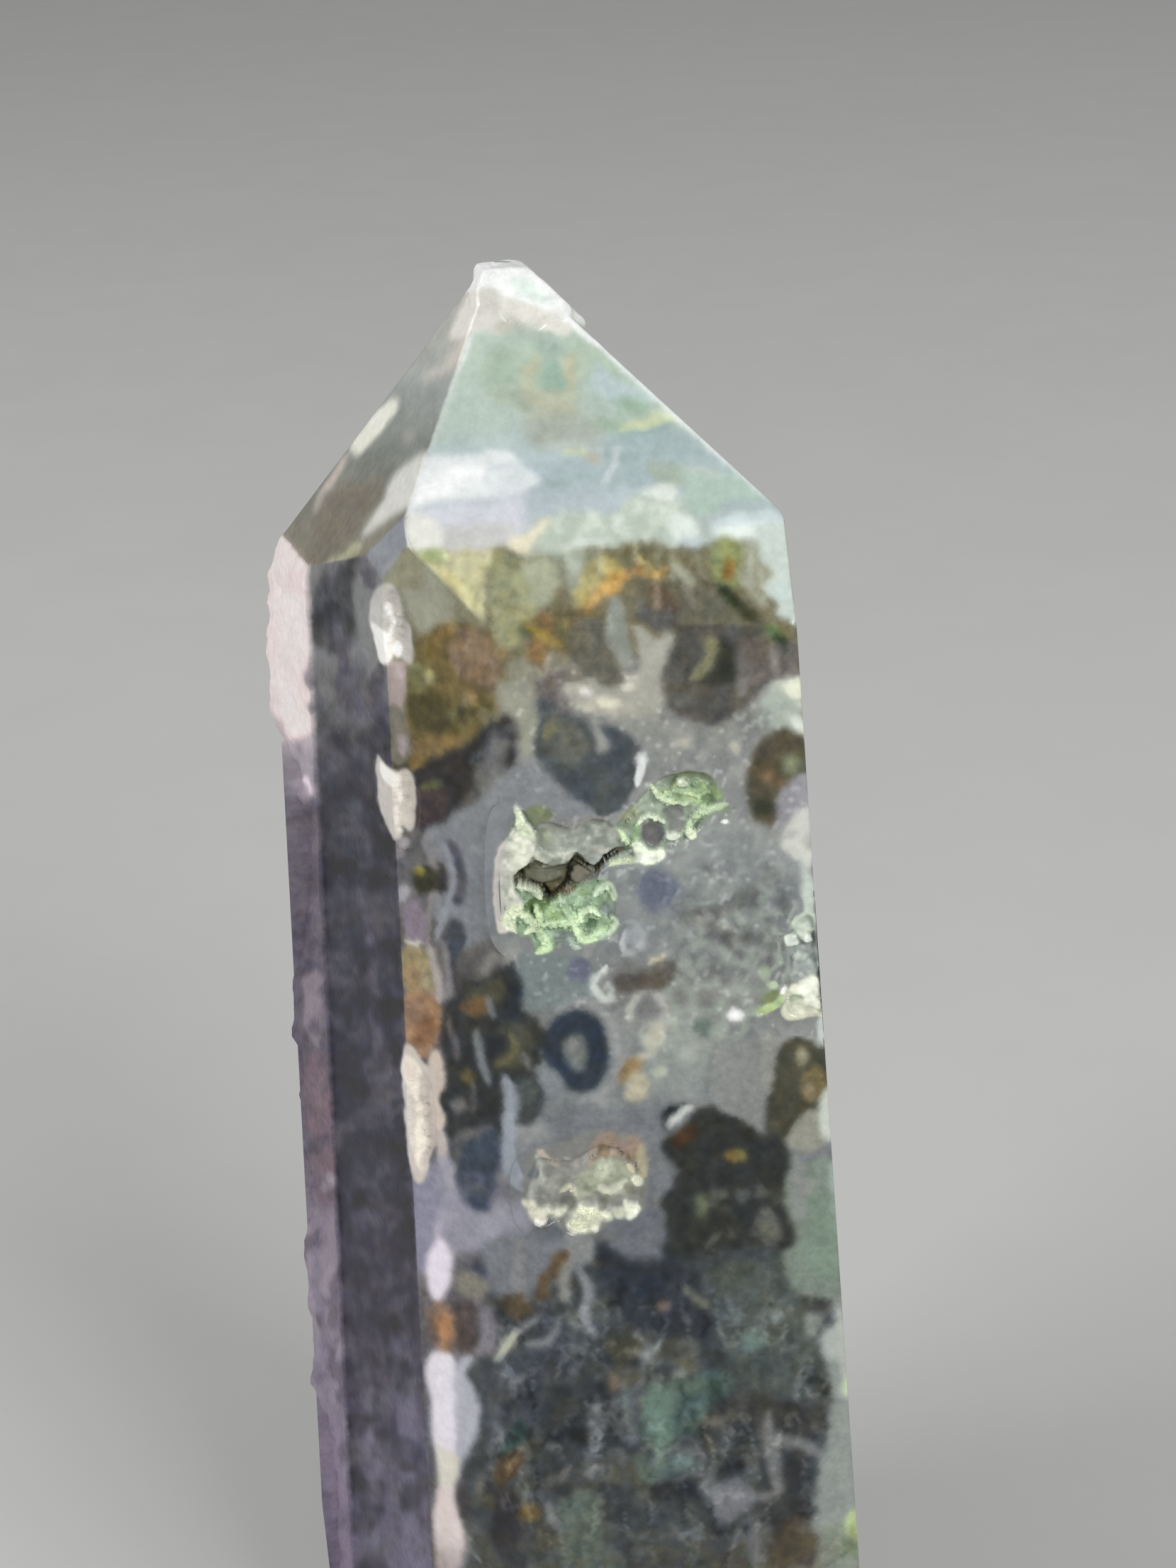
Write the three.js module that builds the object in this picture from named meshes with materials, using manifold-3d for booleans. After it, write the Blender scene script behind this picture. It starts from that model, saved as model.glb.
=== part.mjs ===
// Druzy moss agate tower: one stone ground to a point, with raw skin left on its back-left side
// and druzy hollows in its polished front.
// Millimetres. +Z is up, the origin is the middle of the flat base, and the front face looks along -Y.
import * as THREE from 'three';
import { mergeVertices } from 'three/addons/utils/BufferGeometryUtils.js';
import { ImprovedNoise } from 'three/addons/math/ImprovedNoise.js';
import Module from 'manifold-3d';

// Driving dimensions
const HEIGHT = 80;
const SHOULDER = 66; // height at which the sides' distances are given
const BASE_CHAMFER = 0.4;
const BLOCK = 60; // plan side of the rough block, larger than the stone
const WHEEL = 200; // side of the grinding box, larger than any face it grinds
const WELD = 1e-4; // points closer than this are one
const GAP = 0.3; // space left between a crust and the hollow that it lines

// The sides: azimuth 0 is the front and 90 is +X, and flare is how much each leans out towards the base.
const SIDES = {
  front: { azimuth: 0, distance: 11.05, flare: 2.3 },
  frontBevel: { azimuth: -35, distance: 9.5, flare: 2.3 },
  leftFace: { azimuth: -62, distance: 8.15, flare: 2.3 },
  rawSide: { azimuth: -73, distance: 8.5, flare: 2.6 },
  backLeft: { azimuth: -130, distance: 12.8, flare: 2.4 },
  back: { azimuth: 180, distance: 11, flare: 2.2 },
  backRight: { azimuth: 138, distance: 13.2, flare: 2.5 },
  right: { azimuth: 90, distance: 10.85, flare: 2.9 },
};

// The point: facets through the tip, each with its normal's rise, and one small facet at the left shoulder.
const TIP = new THREE.Vector3(0.15, -0.85, HEIGHT);
const POINT_FACETS = {
  frontFacet: { azimuth: 1.5, rise: 40 },
  leftFacet: { azimuth: -75, rise: 34 },
  backLeftFacet: { azimuth: -124, rise: 41 },
  backFacet: { azimuth: 176, rise: 41 },
  backRightFacet: { azimuth: 141, rise: 41 },
  rightFacet: { azimuth: 104, rise: 43 },
};
const SHOULDER_FACET = { azimuth: -57, distance: 9.5, flare: 19 };

// Rough skin left at the tip, proud of the facets, with a scooped hollow in it
const CAP = { centre: [1.15, -1.45, 78.35], radii: [2.45, 1.75, 1.6], turn: 0.62, seed: 3.7 };
const CAP_PROUD = 0.32; // above the polished facets
const WORN_TOP = 79.45; // where the tip is worn off
const CAP_SCOOP = { centre: [1.35, -2.75, 79], radii: [1.15, 0.62, 0.5], turn: 0.62, seed: 9.1 };
const CAP_LUMPS = { size: 0.55, roughness: 0.22 };
const CAP_FACES = 5; // how finely the cap's ball is divided
const SCOOP_FACES = 3;

// Raw skin on the back-left side: lumps that stand proud of the side or sink below it
const SKIN = { width: 11, depth: 2, columns: 11, rows: 84, sunk: 1.3, highest: 0.55 };
const SKIN_LUMPS = { size: 1.7, height: 0.45, fineHeight: 0.3, finer: 2.3, seed: 5.3 };
// Height along the stone and the skin's level there: thick plates between places where it has broken off
const SKIN_LEVELS = [
  [80, 0.3], [58.6, 0.32], [57, 0.12], [55.9, -0.8], [53.5, -0.75], [52.6, -1.1], [49.2, -1.15],
  [48.2, -0.85], [44.6, -0.4], [43, 0.05], [40, 0], [38.8, -0.25], [33.4, -0.3], [32.6, -0.65],
  [30.4, -0.6], [29.6, 0], [19.8, 0.1], [18.8, -0.95], [-1, -0.95],
];
const SKIN_RIM = { height: 0.16, width: 1.1, waviness: 0.6, waveLength: 0.9 }; // along the left face's edge
const BELOW_BASE = 1; // the skin's block starts this far under the base, which cuts it off
const BED_SPARE = 0.2; // the bed is cut a little deeper than the skin's lowest place

// Hollows, with outlines across and up the face that they open in
const GREEN_HOLLOW = {
  face: 'front',
  depth: 1.5,
  seed: 11,
  outline: [
    [-0.95, 60.5], [-1.3, 55.8], [-0.3, 54.3], [1.5, 53.9], [3.4, 54.2], [3.6, 56.1], [3.5, 57.3],
    [4.7, 57.9], [6.1, 58.8], [7.8, 59.7], [7.7, 61.9], [5.7, 62.5], [3.9, 61.4], [2.9, 60.2],
    [1.8, 59.8], [0.7, 60.5],
  ],
};
const GREEN_OPENING = { centre: [1.35, 57.75], radii: [1.9, 0.85], depth: 3.6, turn: 0.12, seed: 6.3 };
const OPENING_LUMPS = { size: 0.8, roughness: 0.16 };
const OPENING_FACES = 3;
const PALE_HOLLOW = {
  face: 'front',
  depth: 1.3,
  seed: 23,
  outline: [[-0.85, 45.1], [1.4, 45.8], [3.4, 45.3], [4.3, 43.4], [3.3, 41.6], [0.9, 41.4], [-0.9, 42.1]],
};
const RIGHT_HOLLOW = {
  face: 'front',
  depth: 1.2,
  seed: 37,
  outline: [[10.2, 55.7], [11.4, 56.2], [13, 56], [13, 50.6], [11, 50.5], [9.3, 50.9], [9.7, 52.4]],
};
const OUTLINE = { step: 0.42, ragged: 0.12, ripples: 1.9, seed: 4.5 };
const ABOVE_FACE = 1; // how far a hollow's cutter stands out of its face

// White druzy pits along the edge between the front bevel and the left face, from one height to another
const EDGE_PITS = [
  { low: 64.9, high: 69.4, reach: 0.95 },
  { low: 57.6, high: 61.9, reach: 0.8 },
  { low: 42.2, high: 48.8, reach: 1.05 },
];
const PIT_SINK = 0.45; // depth of a pit below the bevel
const PIT_SHIFT = 0.62; // distance of a pit's middle from the edge, on the bevel
const PIT_TURN = 0.85; // how far a pit is turned from the left face, at 0, to the bevel, at 1
const PIT_CRYSTAL = {
  radius: 0.36, height: 0.85, smallest: 0.6, spacing: 0.42, sides: 5, rooted: 0.25, tilt: 0.7,
};
const PIT_ROWS = { apart: 0.42, scatter: 0.22, lower: 0.12 }; // three rows, the outer ones set lower
const PIT_LUMPS = { size: 0.5, roughness: 0.14 };
const PIT_FACES = 4;

// Crusts: the sheet fills this share of its hollow's depth, and the crystals end just below the polished face.
const CRUST = {
  sheet: 0.5, radius: 0.46, rooted: 0.15, spacing: 0.68, scatter: 0.54, sides: 6, tilt: 0.75, below: 0.05,
};
const SMALLEST = 0.7; // smallest crystal of a crust beside its largest

// Materials
const polishedAgate = new THREE.MeshStandardMaterial({
  name: 'polished moss agate', color: 0x6a6c66, roughness: 0.12, metalness: 0, flatShading: true,
});
const greenDruzy = new THREE.MeshStandardMaterial({
  name: 'pale green druzy', color: 0xa9c79a, roughness: 0.5, metalness: 0, flatShading: true,
});
const paleDruzy = new THREE.MeshStandardMaterial({
  name: 'cream druzy', color: 0xb9b592, roughness: 0.55, metalness: 0, flatShading: true,
});

const wasm = await Module();
wasm.setup();
const noise = new ImprovedNoise();

// A repeatable run of random numbers from 0 to 1, by the usual 32-bit linear congruential rule
const RUN = { factor: 1664525, step: 1013904223, size: 2 ** 32 };

function randomRun(seed) {
  let state = seed;
  return () => {
    state = (state * RUN.factor + RUN.step) % RUN.size;
    return state / RUN.size;
  };
}

// Makes a closed three.js geometry into a solid that can be cut and joined.
function solid(geometry) {
  const plain = geometry.clone();
  plain.deleteAttribute('normal');
  plain.deleteAttribute('uv');
  const welded = mergeVertices(plain, WELD);
  return new wasm.Manifold(
    new wasm.Mesh({
      numProp: 3,
      vertProperties: new Float32Array(welded.attributes.position.array),
      triVerts: new Uint32Array(welded.index.array),
    }),
  );
}

// Makes a solid back into a three.js geometry.
function geometryOf(body) {
  const mesh = body.getMesh();
  const positions = new Float32Array(mesh.numVert * 3);
  for (let vertex = 0; vertex < mesh.numVert; vertex += 1) {
    for (let axis = 0; axis < 3; axis += 1) {
      positions[vertex * 3 + axis] = mesh.vertProperties[vertex * mesh.numProp + axis];
    }
  }
  const geometry = new THREE.BufferGeometry();
  geometry.setAttribute('position', new THREE.BufferAttribute(positions, 3));
  geometry.setIndex(new THREE.BufferAttribute(new Uint32Array(mesh.triVerts), 1));
  geometry.computeVertexNormals();
  return geometry;
}

const radians = THREE.MathUtils.degToRad;

// The outward normal of a face that looks along an azimuth and rises by an angle above level
function normalOf(azimuth, rise) {
  const level = Math.cos(radians(rise));
  return new THREE.Vector3(
    Math.sin(radians(azimuth)) * level, -Math.cos(radians(azimuth)) * level, Math.sin(radians(rise)),
  );
}

// The point of a side that is on its own azimuth at a height
function sidePoint(side, height) {
  const distance = side.distance + (SHOULDER - height) * Math.tan(radians(side.flare));
  return new THREE.Vector3(
    Math.sin(radians(side.azimuth)) * distance, -Math.cos(radians(side.azimuth)) * distance, height,
  );
}

// The frame of a face: x across it, y up it and z out of it
function faceFrame(azimuth, rise, origin) {
  const out = normalOf(azimuth, rise);
  const across = new THREE.Vector3(Math.cos(radians(azimuth)), Math.sin(radians(azimuth)), 0);
  const up = new THREE.Vector3().crossVectors(out, across);
  return new THREE.Matrix4().makeBasis(across, up, out).setPosition(origin);
}

function sideFrame(side) {
  return faceFrame(side.azimuth, side.flare, sidePoint(side, 0));
}

// The material beyond a plane, as one big box that grinds the face when it is cut away
function beyond(azimuth, rise, point, proud = 0) {
  const box = new THREE.BoxGeometry(WHEEL, WHEEL, WHEEL);
  box.translate(0, 0, WHEEL / 2 + proud);
  box.applyMatrix4(faceFrame(azimuth, rise, point));
  return solid(box);
}

function beyondSide(side, proud = 0) {
  return beyond(side.azimuth, side.flare, sidePoint(side, SHOULDER), proud);
}

// The point of the edge that two sides share, at a height
function edgePoint(sideA, sideB, height) {
  const a = normalOf(sideA.azimuth, sideA.flare);
  const b = normalOf(sideB.azimuth, sideB.flare);
  const reachA = a.dot(sidePoint(sideA, height)) - a.z * height;
  const reachB = b.dot(sidePoint(sideB, height)) - b.z * height;
  const cross = a.x * b.y - a.y * b.x;
  return new THREE.Vector3(
    (reachA * b.y - a.y * reachB) / cross, (a.x * reachB - reachA * b.x) / cross, height,
  );
}

function roughBlock() {
  const block = new THREE.BoxGeometry(BLOCK, BLOCK, HEIGHT);
  block.translate(0, 0, HEIGHT / 2);
  return solid(block);
}

// The rough block ground on every side and facet, apart from the names left out
function groundStone(leaveOut = [], proud = 0) {
  let stone = roughBlock();
  for (const [name, side] of Object.entries(SIDES)) {
    if (!leaveOut.includes(name)) {
      stone = stone.subtract(beyondSide(side));
    }
  }
  for (const facet of Object.values(POINT_FACETS)) {
    stone = stone.subtract(beyond(facet.azimuth, facet.rise, TIP, proud));
  }
  stone = stone.subtract(beyondSide(SHOULDER_FACET, proud));
  return stone;
}

// Chamfers the bottom edge of every side.
function chamferBase(stone) {
  let chamfered = stone;
  for (const side of Object.values(SIDES)) {
    const edge = sidePoint(side, 0);
    const inward = edge.clone().setZ(0).normalize().multiplyScalar(-BASE_CHAMFER);
    chamfered = chamfered.subtract(beyond(side.azimuth, -45, edge.add(inward)));
  }
  return chamfered;
}

// A ball with a lumpy, flat-faced surface, stretched to its radii
function lumpyBall(radii, detail, lumps, seed) {
  const ball = new THREE.IcosahedronGeometry(1, detail);
  ball.deleteAttribute('normal');
  ball.deleteAttribute('uv');
  const welded = mergeVertices(ball, WELD);
  const place = welded.attributes.position;
  const point = new THREE.Vector3();
  for (let i = 0; i < place.count; i += 1) {
    point.fromBufferAttribute(place, i);
    const lump = noise.noise(point.x / lumps.size + seed, point.y / lumps.size, point.z / lumps.size);
    point.multiplyScalar(1 + lumps.roughness * lump);
    place.setXYZ(i, point.x * radii[0], point.y * radii[1], point.z * radii[2]);
  }
  return welded;
}

// The rough cap of the tip, held between facets a little proud of the polished ones
function tipCap() {
  const lump = lumpyBall(CAP.radii, CAP_FACES, CAP_LUMPS, CAP.seed);
  lump.rotateY(CAP.turn);
  lump.translate(...CAP.centre);
  const mould = groundStone([], CAP_PROUD);
  return solid(lump).intersect(mould);
}

function capScoop() {
  const scoop = lumpyBall(CAP_SCOOP.radii, SCOOP_FACES, CAP_LUMPS, CAP_SCOOP.seed);
  scoop.rotateY(CAP_SCOOP.turn);
  scoop.translate(...CAP_SCOOP.centre);
  return solid(scoop);
}

// The skin's level at a height, between the two nearest of its levels
function skinLevel(height) {
  const next = Math.max(SKIN_LEVELS.findIndex(([low]) => low <= height), 1);
  const [above, levelAbove] = SKIN_LEVELS[next - 1];
  const [below, levelBelow] = SKIN_LEVELS[next];
  return THREE.MathUtils.mapLinear(height, below, above, levelBelow, levelAbove);
}

// Height of the raw skin above its side, at a place behind the left face's edge and at a height
function skinRelief(behind, height) {
  const { size, finer, seed } = SKIN_LUMPS;
  const coarse = noise.noise(behind / size + seed, height / size, 0.5);
  const fine = noise.noise((behind * finer) / size, (height * finer) / size, seed);
  const lumpy = skinLevel(height) + coarse * SKIN_LUMPS.height + fine * SKIN_LUMPS.fineHeight;
  const open = THREE.MathUtils.clamp(lumpy, -SKIN.sunk, SKIN.highest);
  const atEdge = Math.exp(-Math.max(behind, 0) / SKIN_RIM.width);
  const wave = noise.noise(height / SKIN_RIM.waveLength, seed, 0.5);
  return THREE.MathUtils.lerp(open, SKIN_RIM.height * (1 + SKIN_RIM.waviness * wave), atEdge);
}

// Frame of the raw side: y runs up the left face's edge, z points out and x points to the front from that edge.
function skinFrame() {
  const side = SIDES.rawSide;
  const low = edgePoint(SIDES.leftFace, side, 0);
  const high = edgePoint(SIDES.leftFace, side, SHOULDER);
  const up = high.clone().sub(low).normalize();
  const out = normalOf(side.azimuth, side.flare);
  const forward = new THREE.Vector3().crossVectors(up, out).normalize();
  out.crossVectors(forward, up);
  return new THREE.Matrix4().makeBasis(forward, up, out).setPosition(low);
}

// A closed block whose outer face carries the relief, from the left face's edge back past the next side
function rawSkin() {
  const block = new THREE.BoxGeometry(SKIN.width, HEIGHT, SKIN.depth, SKIN.columns, SKIN.rows, 1);
  block.translate(-SKIN.width / 2, HEIGHT / 2 - BELOW_BASE, -SKIN.depth / 2);
  const place = block.attributes.position;
  for (let i = 0; i < place.count; i += 1) {
    if (place.getZ(i) > -SKIN.depth / 2) {
      place.setZ(i, skinRelief(-place.getX(i), place.getY(i)));
    }
  }
  block.applyMatrix4(skinFrame());
  return solid(block);
}

// The bed that the skin's low places sink into, which starts behind the skin's rim
function skinBed() {
  const bed = new THREE.BoxGeometry(SKIN.width, HEIGHT * 2, WHEEL);
  bed.translate(-SKIN.width / 2 - SKIN_RIM.width, 0, WHEEL / 2 - SKIN.sunk - BED_SPARE);
  bed.applyMatrix4(skinFrame());
  return solid(bed);
}

// A closed outline through points, as evenly spaced points, each moved inwards by an amount
function outlinePoints(points, inset, ragged) {
  const curve = new THREE.CatmullRomCurve3(points.map(([x, y]) => new THREE.Vector3(x, y, 0)), true);
  const count = Math.round(curve.getLength() / OUTLINE.step);
  const places = curve.getSpacedPoints(count).slice(0, count);
  const turn = THREE.ShapeUtils.isClockWise(places) ? -1 : 1;
  return places.map((place, i) => {
    const before = places[(i + count - 1) % count];
    const after = places[(i + 1) % count];
    const along = new THREE.Vector2(after.x - before.x, after.y - before.y).normalize();
    const ripple = noise.noise(place.x * OUTLINE.ripples, place.y * OUTLINE.ripples, OUTLINE.seed);
    const move = inset + ragged * ripple;
    return new THREE.Vector2(place.x - along.y * move * turn, place.y + along.x * move * turn);
  });
}

// A prism of an outline from a depth below its face to a height above it
function prism(outline, low, high, frame) {
  const depth = high - low;
  const geometry = new THREE.ExtrudeGeometry(new THREE.Shape(outline), { depth, bevelEnabled: false });
  geometry.translate(0, 0, low);
  geometry.applyMatrix4(frame);
  return solid(geometry);
}

function hollowCut(hollow) {
  const outline = outlinePoints(hollow.outline, 0, OUTLINE.ragged);
  return prism(outline, -hollow.depth, ABOVE_FACE, sideFrame(SIDES[hollow.face]));
}

// The deeper hole in the main hollow
function openingCut() {
  const { centre, radii, depth, turn, seed } = GREEN_OPENING;
  const hole = lumpyBall([radii[0], radii[1], depth], OPENING_FACES, OPENING_LUMPS, seed);
  hole.rotateZ(turn);
  hole.translate(centre[0], centre[1], 0);
  hole.applyMatrix4(sideFrame(SIDES[GREEN_HOLLOW.face]));
  return solid(hole);
}

function insideOutline(x, y, outline) {
  let inside = false;
  for (let i = 0, j = outline.length - 1; i < outline.length; j = i, i += 1) {
    const a = outline[i];
    const b = outline[j];
    if (a.y > y !== b.y > y && x < ((b.x - a.x) * (y - a.y)) / (b.y - a.y) + a.x) {
      inside = !inside;
    }
  }
  return inside;
}

// One pointed crystal with flat faces, its foot at the origin and its tip along +Z before it is tilted
function crystal(radius, height, sides, tilt, heading, place) {
  const point = new THREE.ConeGeometry(radius, height, sides);
  point.rotateX(Math.PI / 2);
  point.translate(0, 0, height / 2);
  point.rotateZ(heading);
  point.rotateX(tilt);
  point.rotateZ(heading);
  point.translate(...place);
  return point;
}

// A sheet with crystals grown over it, clear of its hollow on every side
function crust(hollow) {
  const random = randomRun(hollow.seed);
  const frame = sideFrame(SIDES[hollow.face]);
  const edge = outlinePoints(hollow.outline, GAP + OUTLINE.ragged, 0);
  const floor = -hollow.depth + GAP;
  const sheetTop = floor - floor * CRUST.sheet;
  let body = prism(edge, floor, sheetTop, frame);
  const xs = edge.map((point) => point.x);
  const ys = edge.map((point) => point.y);
  const grown = [];
  for (let y = Math.min(...ys); y < Math.max(...ys); y += CRUST.spacing) {
    for (let x = Math.min(...xs); x < Math.max(...xs); x += CRUST.spacing) {
      const placeX = x + (random() - 0.5) * CRUST.scatter;
      const placeY = y + (random() - 0.5) * CRUST.scatter;
      const size = THREE.MathUtils.lerp(SMALLEST, 1, random());
      const tilt = (random() - 0.5) * CRUST.tilt;
      const heading = random() * Math.PI * 2;
      if (insideOutline(placeX, placeY, edge)) {
        const foot = sheetTop - CRUST.rooted;
        const height = (-CRUST.below - foot) * size;
        const point = crystal(CRUST.radius * size, height, CRUST.sides, tilt, heading, [placeX, placeY, foot]);
        grown.push(solid(point.applyMatrix4(frame)));
      }
    }
  }
  for (const point of grown) {
    body = body.add(point);
  }
  return body.intersect(prism(edge, floor, 0, frame));
}

// A druzy pit along the front-left edge: the groove that it lies in and the crystals fused to its floor
function edgePit(pit) {
  const low = edgePoint(SIDES.leftFace, SIDES.frontBevel, pit.low);
  const high = edgePoint(SIDES.leftFace, SIDES.frontBevel, pit.high);
  const up = high.clone().sub(low).normalize();
  const heading = THREE.MathUtils.lerp(SIDES.leftFace.azimuth, SIDES.frontBevel.azimuth, PIT_TURN);
  const across = new THREE.Vector3().crossVectors(up, normalOf(heading, 0)).normalize();
  const out = new THREE.Vector3().crossVectors(across, up);
  const frame = new THREE.Matrix4().makeBasis(across, up, out).setPosition(low);
  const length = high.distanceTo(low);
  const groove = lumpyBall([pit.reach, length / 2, pit.reach], PIT_FACES, PIT_LUMPS, pit.low);
  groove.translate(PIT_SHIFT, length / 2, pit.reach - PIT_SINK);
  groove.applyMatrix4(frame);
  const random = randomRun(Math.round(pit.low));
  const crystals = [];
  const { radius, height, smallest, spacing, sides, rooted, tilt } = PIT_CRYSTAL;
  for (let along = spacing; along < length - spacing; along += spacing) {
    for (const row of [-1, 0, 1]) {
      const spread = PIT_SHIFT + row * pit.reach * PIT_ROWS.apart + (random() - 0.5) * PIT_ROWS.scatter;
      const size = THREE.MathUtils.lerp(smallest, 1, random());
      const sunk = -PIT_SINK - rooted - Math.abs(row) * PIT_ROWS.lower;
      const place = [spread, along + (random() - 0.5) * PIT_ROWS.scatter, sunk];
      const lean = (random() - 0.5) * tilt;
      const point = crystal(radius * size, height * size, sides, lean, random() * Math.PI * 2, place);
      crystals.push(solid(point.applyMatrix4(frame)));
    }
  }
  return { groove: solid(groove), crystals };
}

// The stone: ground block, raw skin, rough tip, hollows and pits
function towerStone() {
  let stone = groundStone();
  stone = stone.subtract(skinBed());
  stone = stone.add(rawSkin().intersect(groundStone(['rawSide', 'leftFace'])));
  stone = stone.add(tipCap());
  stone = stone.subtract(beyond(0, 90, new THREE.Vector3(0, 0, WORN_TOP)));
  stone = stone.subtract(capScoop());
  stone = chamferBase(stone);
  for (const hollow of [GREEN_HOLLOW, PALE_HOLLOW, RIGHT_HOLLOW]) {
    stone = stone.subtract(hollowCut(hollow));
  }
  stone = stone.subtract(openingCut());
  for (const pit of EDGE_PITS) {
    const { groove, crystals } = edgePit(pit);
    stone = stone.subtract(groove);
    for (const point of crystals) {
      stone = stone.add(point);
    }
  }
  return stone;
}

const object = new THREE.Group();

function addPiece(name, body, material) {
  const mesh = new THREE.Mesh(geometryOf(body), material);
  mesh.name = name;
  object.add(mesh);
}

addPiece('tower', towerStone(), polishedAgate);
addPiece('green_druzy_crust', crust(GREEN_HOLLOW).subtract(openingCut()), greenDruzy);
addPiece('pale_druzy_crust', crust(PALE_HOLLOW), paleDruzy);
addPiece('right_druzy_crust', crust(RIGHT_HOLLOW).intersect(groundStone()), greenDruzy);

export default object;
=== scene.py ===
"""The finish of a druzy moss agate tower: a polished stone with raw skin, a frosted tip and druzy hollows.

Sizes are in millimetres in the stone's own frame: +Z is up, the origin is the middle of the flat base and
the front looks along -Y. Marks are placed by pixels of the 1659 x 2212 photograph.
"""
import math
from itertools import product

import bpy
import numpy as np
from mathutils import Matrix, Vector
from mathutils.bvhtree import BVHTree
from mathutils.geometry import delaunay_2d_cdt


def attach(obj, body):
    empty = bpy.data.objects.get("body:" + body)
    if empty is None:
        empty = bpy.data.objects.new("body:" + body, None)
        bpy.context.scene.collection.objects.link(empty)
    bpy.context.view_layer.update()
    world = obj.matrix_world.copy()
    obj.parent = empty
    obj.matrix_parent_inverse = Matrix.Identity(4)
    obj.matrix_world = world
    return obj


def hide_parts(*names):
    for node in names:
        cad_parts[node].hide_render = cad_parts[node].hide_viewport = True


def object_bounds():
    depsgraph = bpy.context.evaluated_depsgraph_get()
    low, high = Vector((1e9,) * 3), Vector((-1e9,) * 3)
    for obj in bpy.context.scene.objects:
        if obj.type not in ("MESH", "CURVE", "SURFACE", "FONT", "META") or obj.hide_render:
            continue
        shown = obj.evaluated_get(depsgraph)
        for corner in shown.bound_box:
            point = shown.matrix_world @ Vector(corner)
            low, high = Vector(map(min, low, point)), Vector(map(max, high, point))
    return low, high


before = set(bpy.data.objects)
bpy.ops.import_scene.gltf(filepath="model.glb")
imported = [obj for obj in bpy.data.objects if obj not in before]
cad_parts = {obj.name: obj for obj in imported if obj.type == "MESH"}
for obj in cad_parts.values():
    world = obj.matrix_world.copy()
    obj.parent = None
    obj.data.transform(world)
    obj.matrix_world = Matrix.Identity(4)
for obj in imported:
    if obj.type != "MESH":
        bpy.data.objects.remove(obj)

CAD_BOX = [list(corner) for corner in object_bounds()]

bl_info = {
    "name": "Druzy moss agate tower",
    "version": (1, 0, 0),
    "blender": (4, 5, 0),
    "location": "3D View > Sidebar > Agate tower",
    "description": "Makes the polished stone, its druzy crusts and a plain studio",
    "category": "Object",
}

MM = 0.001

# The stone's planes, as in its solids: azimuth 0 is the front and 90 is +X
HEIGHT = 80.0
SHOULDER = 66.0  # height at which the sides' distances are given
BASE_CHAMFER = 0.4
BLOCK = 80.0  # half side of the sheet that a face is cut from
SIDES = {  # azimuth, distance at the shoulder's height, flare towards the base
    "front": (0, 11.05, 2.3),
    "front bevel": (-35, 9.5, 2.3),
    "left face": (-62, 8.15, 2.3),
    "raw side": (-73, 8.5, 2.6),
    "back left": (-130, 12.8, 2.4),
    "back": (180, 11, 2.2),
    "back right": (138, 13.2, 2.5),
    "right": (90, 10.85, 2.9),
}
TIP = np.array([0.15, -0.85, HEIGHT])
POINT_FACETS = {  # azimuth and rise of each facet's normal
    "front facet": (1.5, 40),
    "left facet": (-75, 34),
    "back left facet": (-124, 41),
    "back facet": (176, 41),
    "back right facet": (141, 41),
    "right facet": (104, 43),
}
SHOULDER_FACET = (-57, 9.5, 19)
SEEN_FACES = ("front", "front bevel", "left face", "raw side", "front facet", "left facet", "shoulder facet")
FOLDED_FROM = {  # a face that the photograph hides takes its colours, near the edge, from the one beside it
    "right": "front",
    "right facet": "front facet",
    "back left": "raw side",
    "back left facet": "left facet",
}

# Hollows of the front face, across it and up it, and the deeper opening in the first
HOLLOWS = {
    "green": {
        "depth": 1.5,
        "outline": [
            (-0.95, 60.5), (-1.3, 55.8), (-0.3, 54.3), (1.5, 53.9), (3.4, 54.2), (3.6, 56.1), (3.5, 57.3),
            (4.7, 57.9), (6.1, 58.8), (7.8, 59.7), (7.7, 61.9), (5.7, 62.5), (3.9, 61.4), (2.9, 60.2),
            (1.8, 59.8), (0.7, 60.5),
        ],
    },
    "pale": {
        "depth": 1.3,
        "outline": [
            (-0.85, 45.1), (1.4, 45.8), (3.4, 45.3), (4.3, 43.4), (3.3, 41.6), (0.9, 41.4), (-0.9, 42.1),
        ],
    },
    "right": {
        "depth": 1.2,
        "outline": [
            (10.2, 55.7), (11.4, 56.2), (13, 56), (13, 50.6), (11, 50.5), (9.3, 50.9), (9.7, 52.4),
        ],
    },
}
EDGE_PITS = ((64.9, 69.4, 0.95), (57.6, 61.9, 0.8), (42.2, 48.8, 1.05))  # low, high and reach
PIT_SHIFT = 0.62  # how far the middle of a pit is from its edge
PIT_TURN = 0.85  # how far a pit's heading is turned from the left face's to the bevel's
CAP_LOWEST = 76.3  # the tip's rough skin is above this height
CAP_CORE = np.array([0.3, -1.0, 74.0])
SATIN = 0.5  # how matte the dark left face is

# How finely the faces are divided
SPACING = {
    "front": 0.18,
    "front facet": 0.17,
    "front bevel": 0.18,
    "left face": 0.27,
    "raw side": 0.215,
    "left facet": 0.24,
    "shoulder facet": 0.2,
}
HIDDEN_SPACING = 0.9
FINE_SPACING = 0.1  # in hollows, pits and the cap
LOW_SPACING = 0.4  # on the seen faces below the photograph's edge
LOW_HEIGHT = 18.0
HOLLOW_ZONE = 0.35  # the fine points go this far outside a hollow's outline
PIT_WIDER, PIT_LONGER = 0.2, 0.3  # and this far outside a pit's reach and beyond its ends
CAP_MARGIN = 0.3  # and this far below the cap
EDGE_TRIAL = 0.05  # spacing at which an edge is looked at before its points are placed
EDGE_ROW = 0.09  # distance of the first row of points from a face's edge
ROW_KEPT = 0.9  # its points stay this share of that away from the other edges too
ROW_CLEAR = 0.45  # how far the other points stay from that row, in spacings
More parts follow.
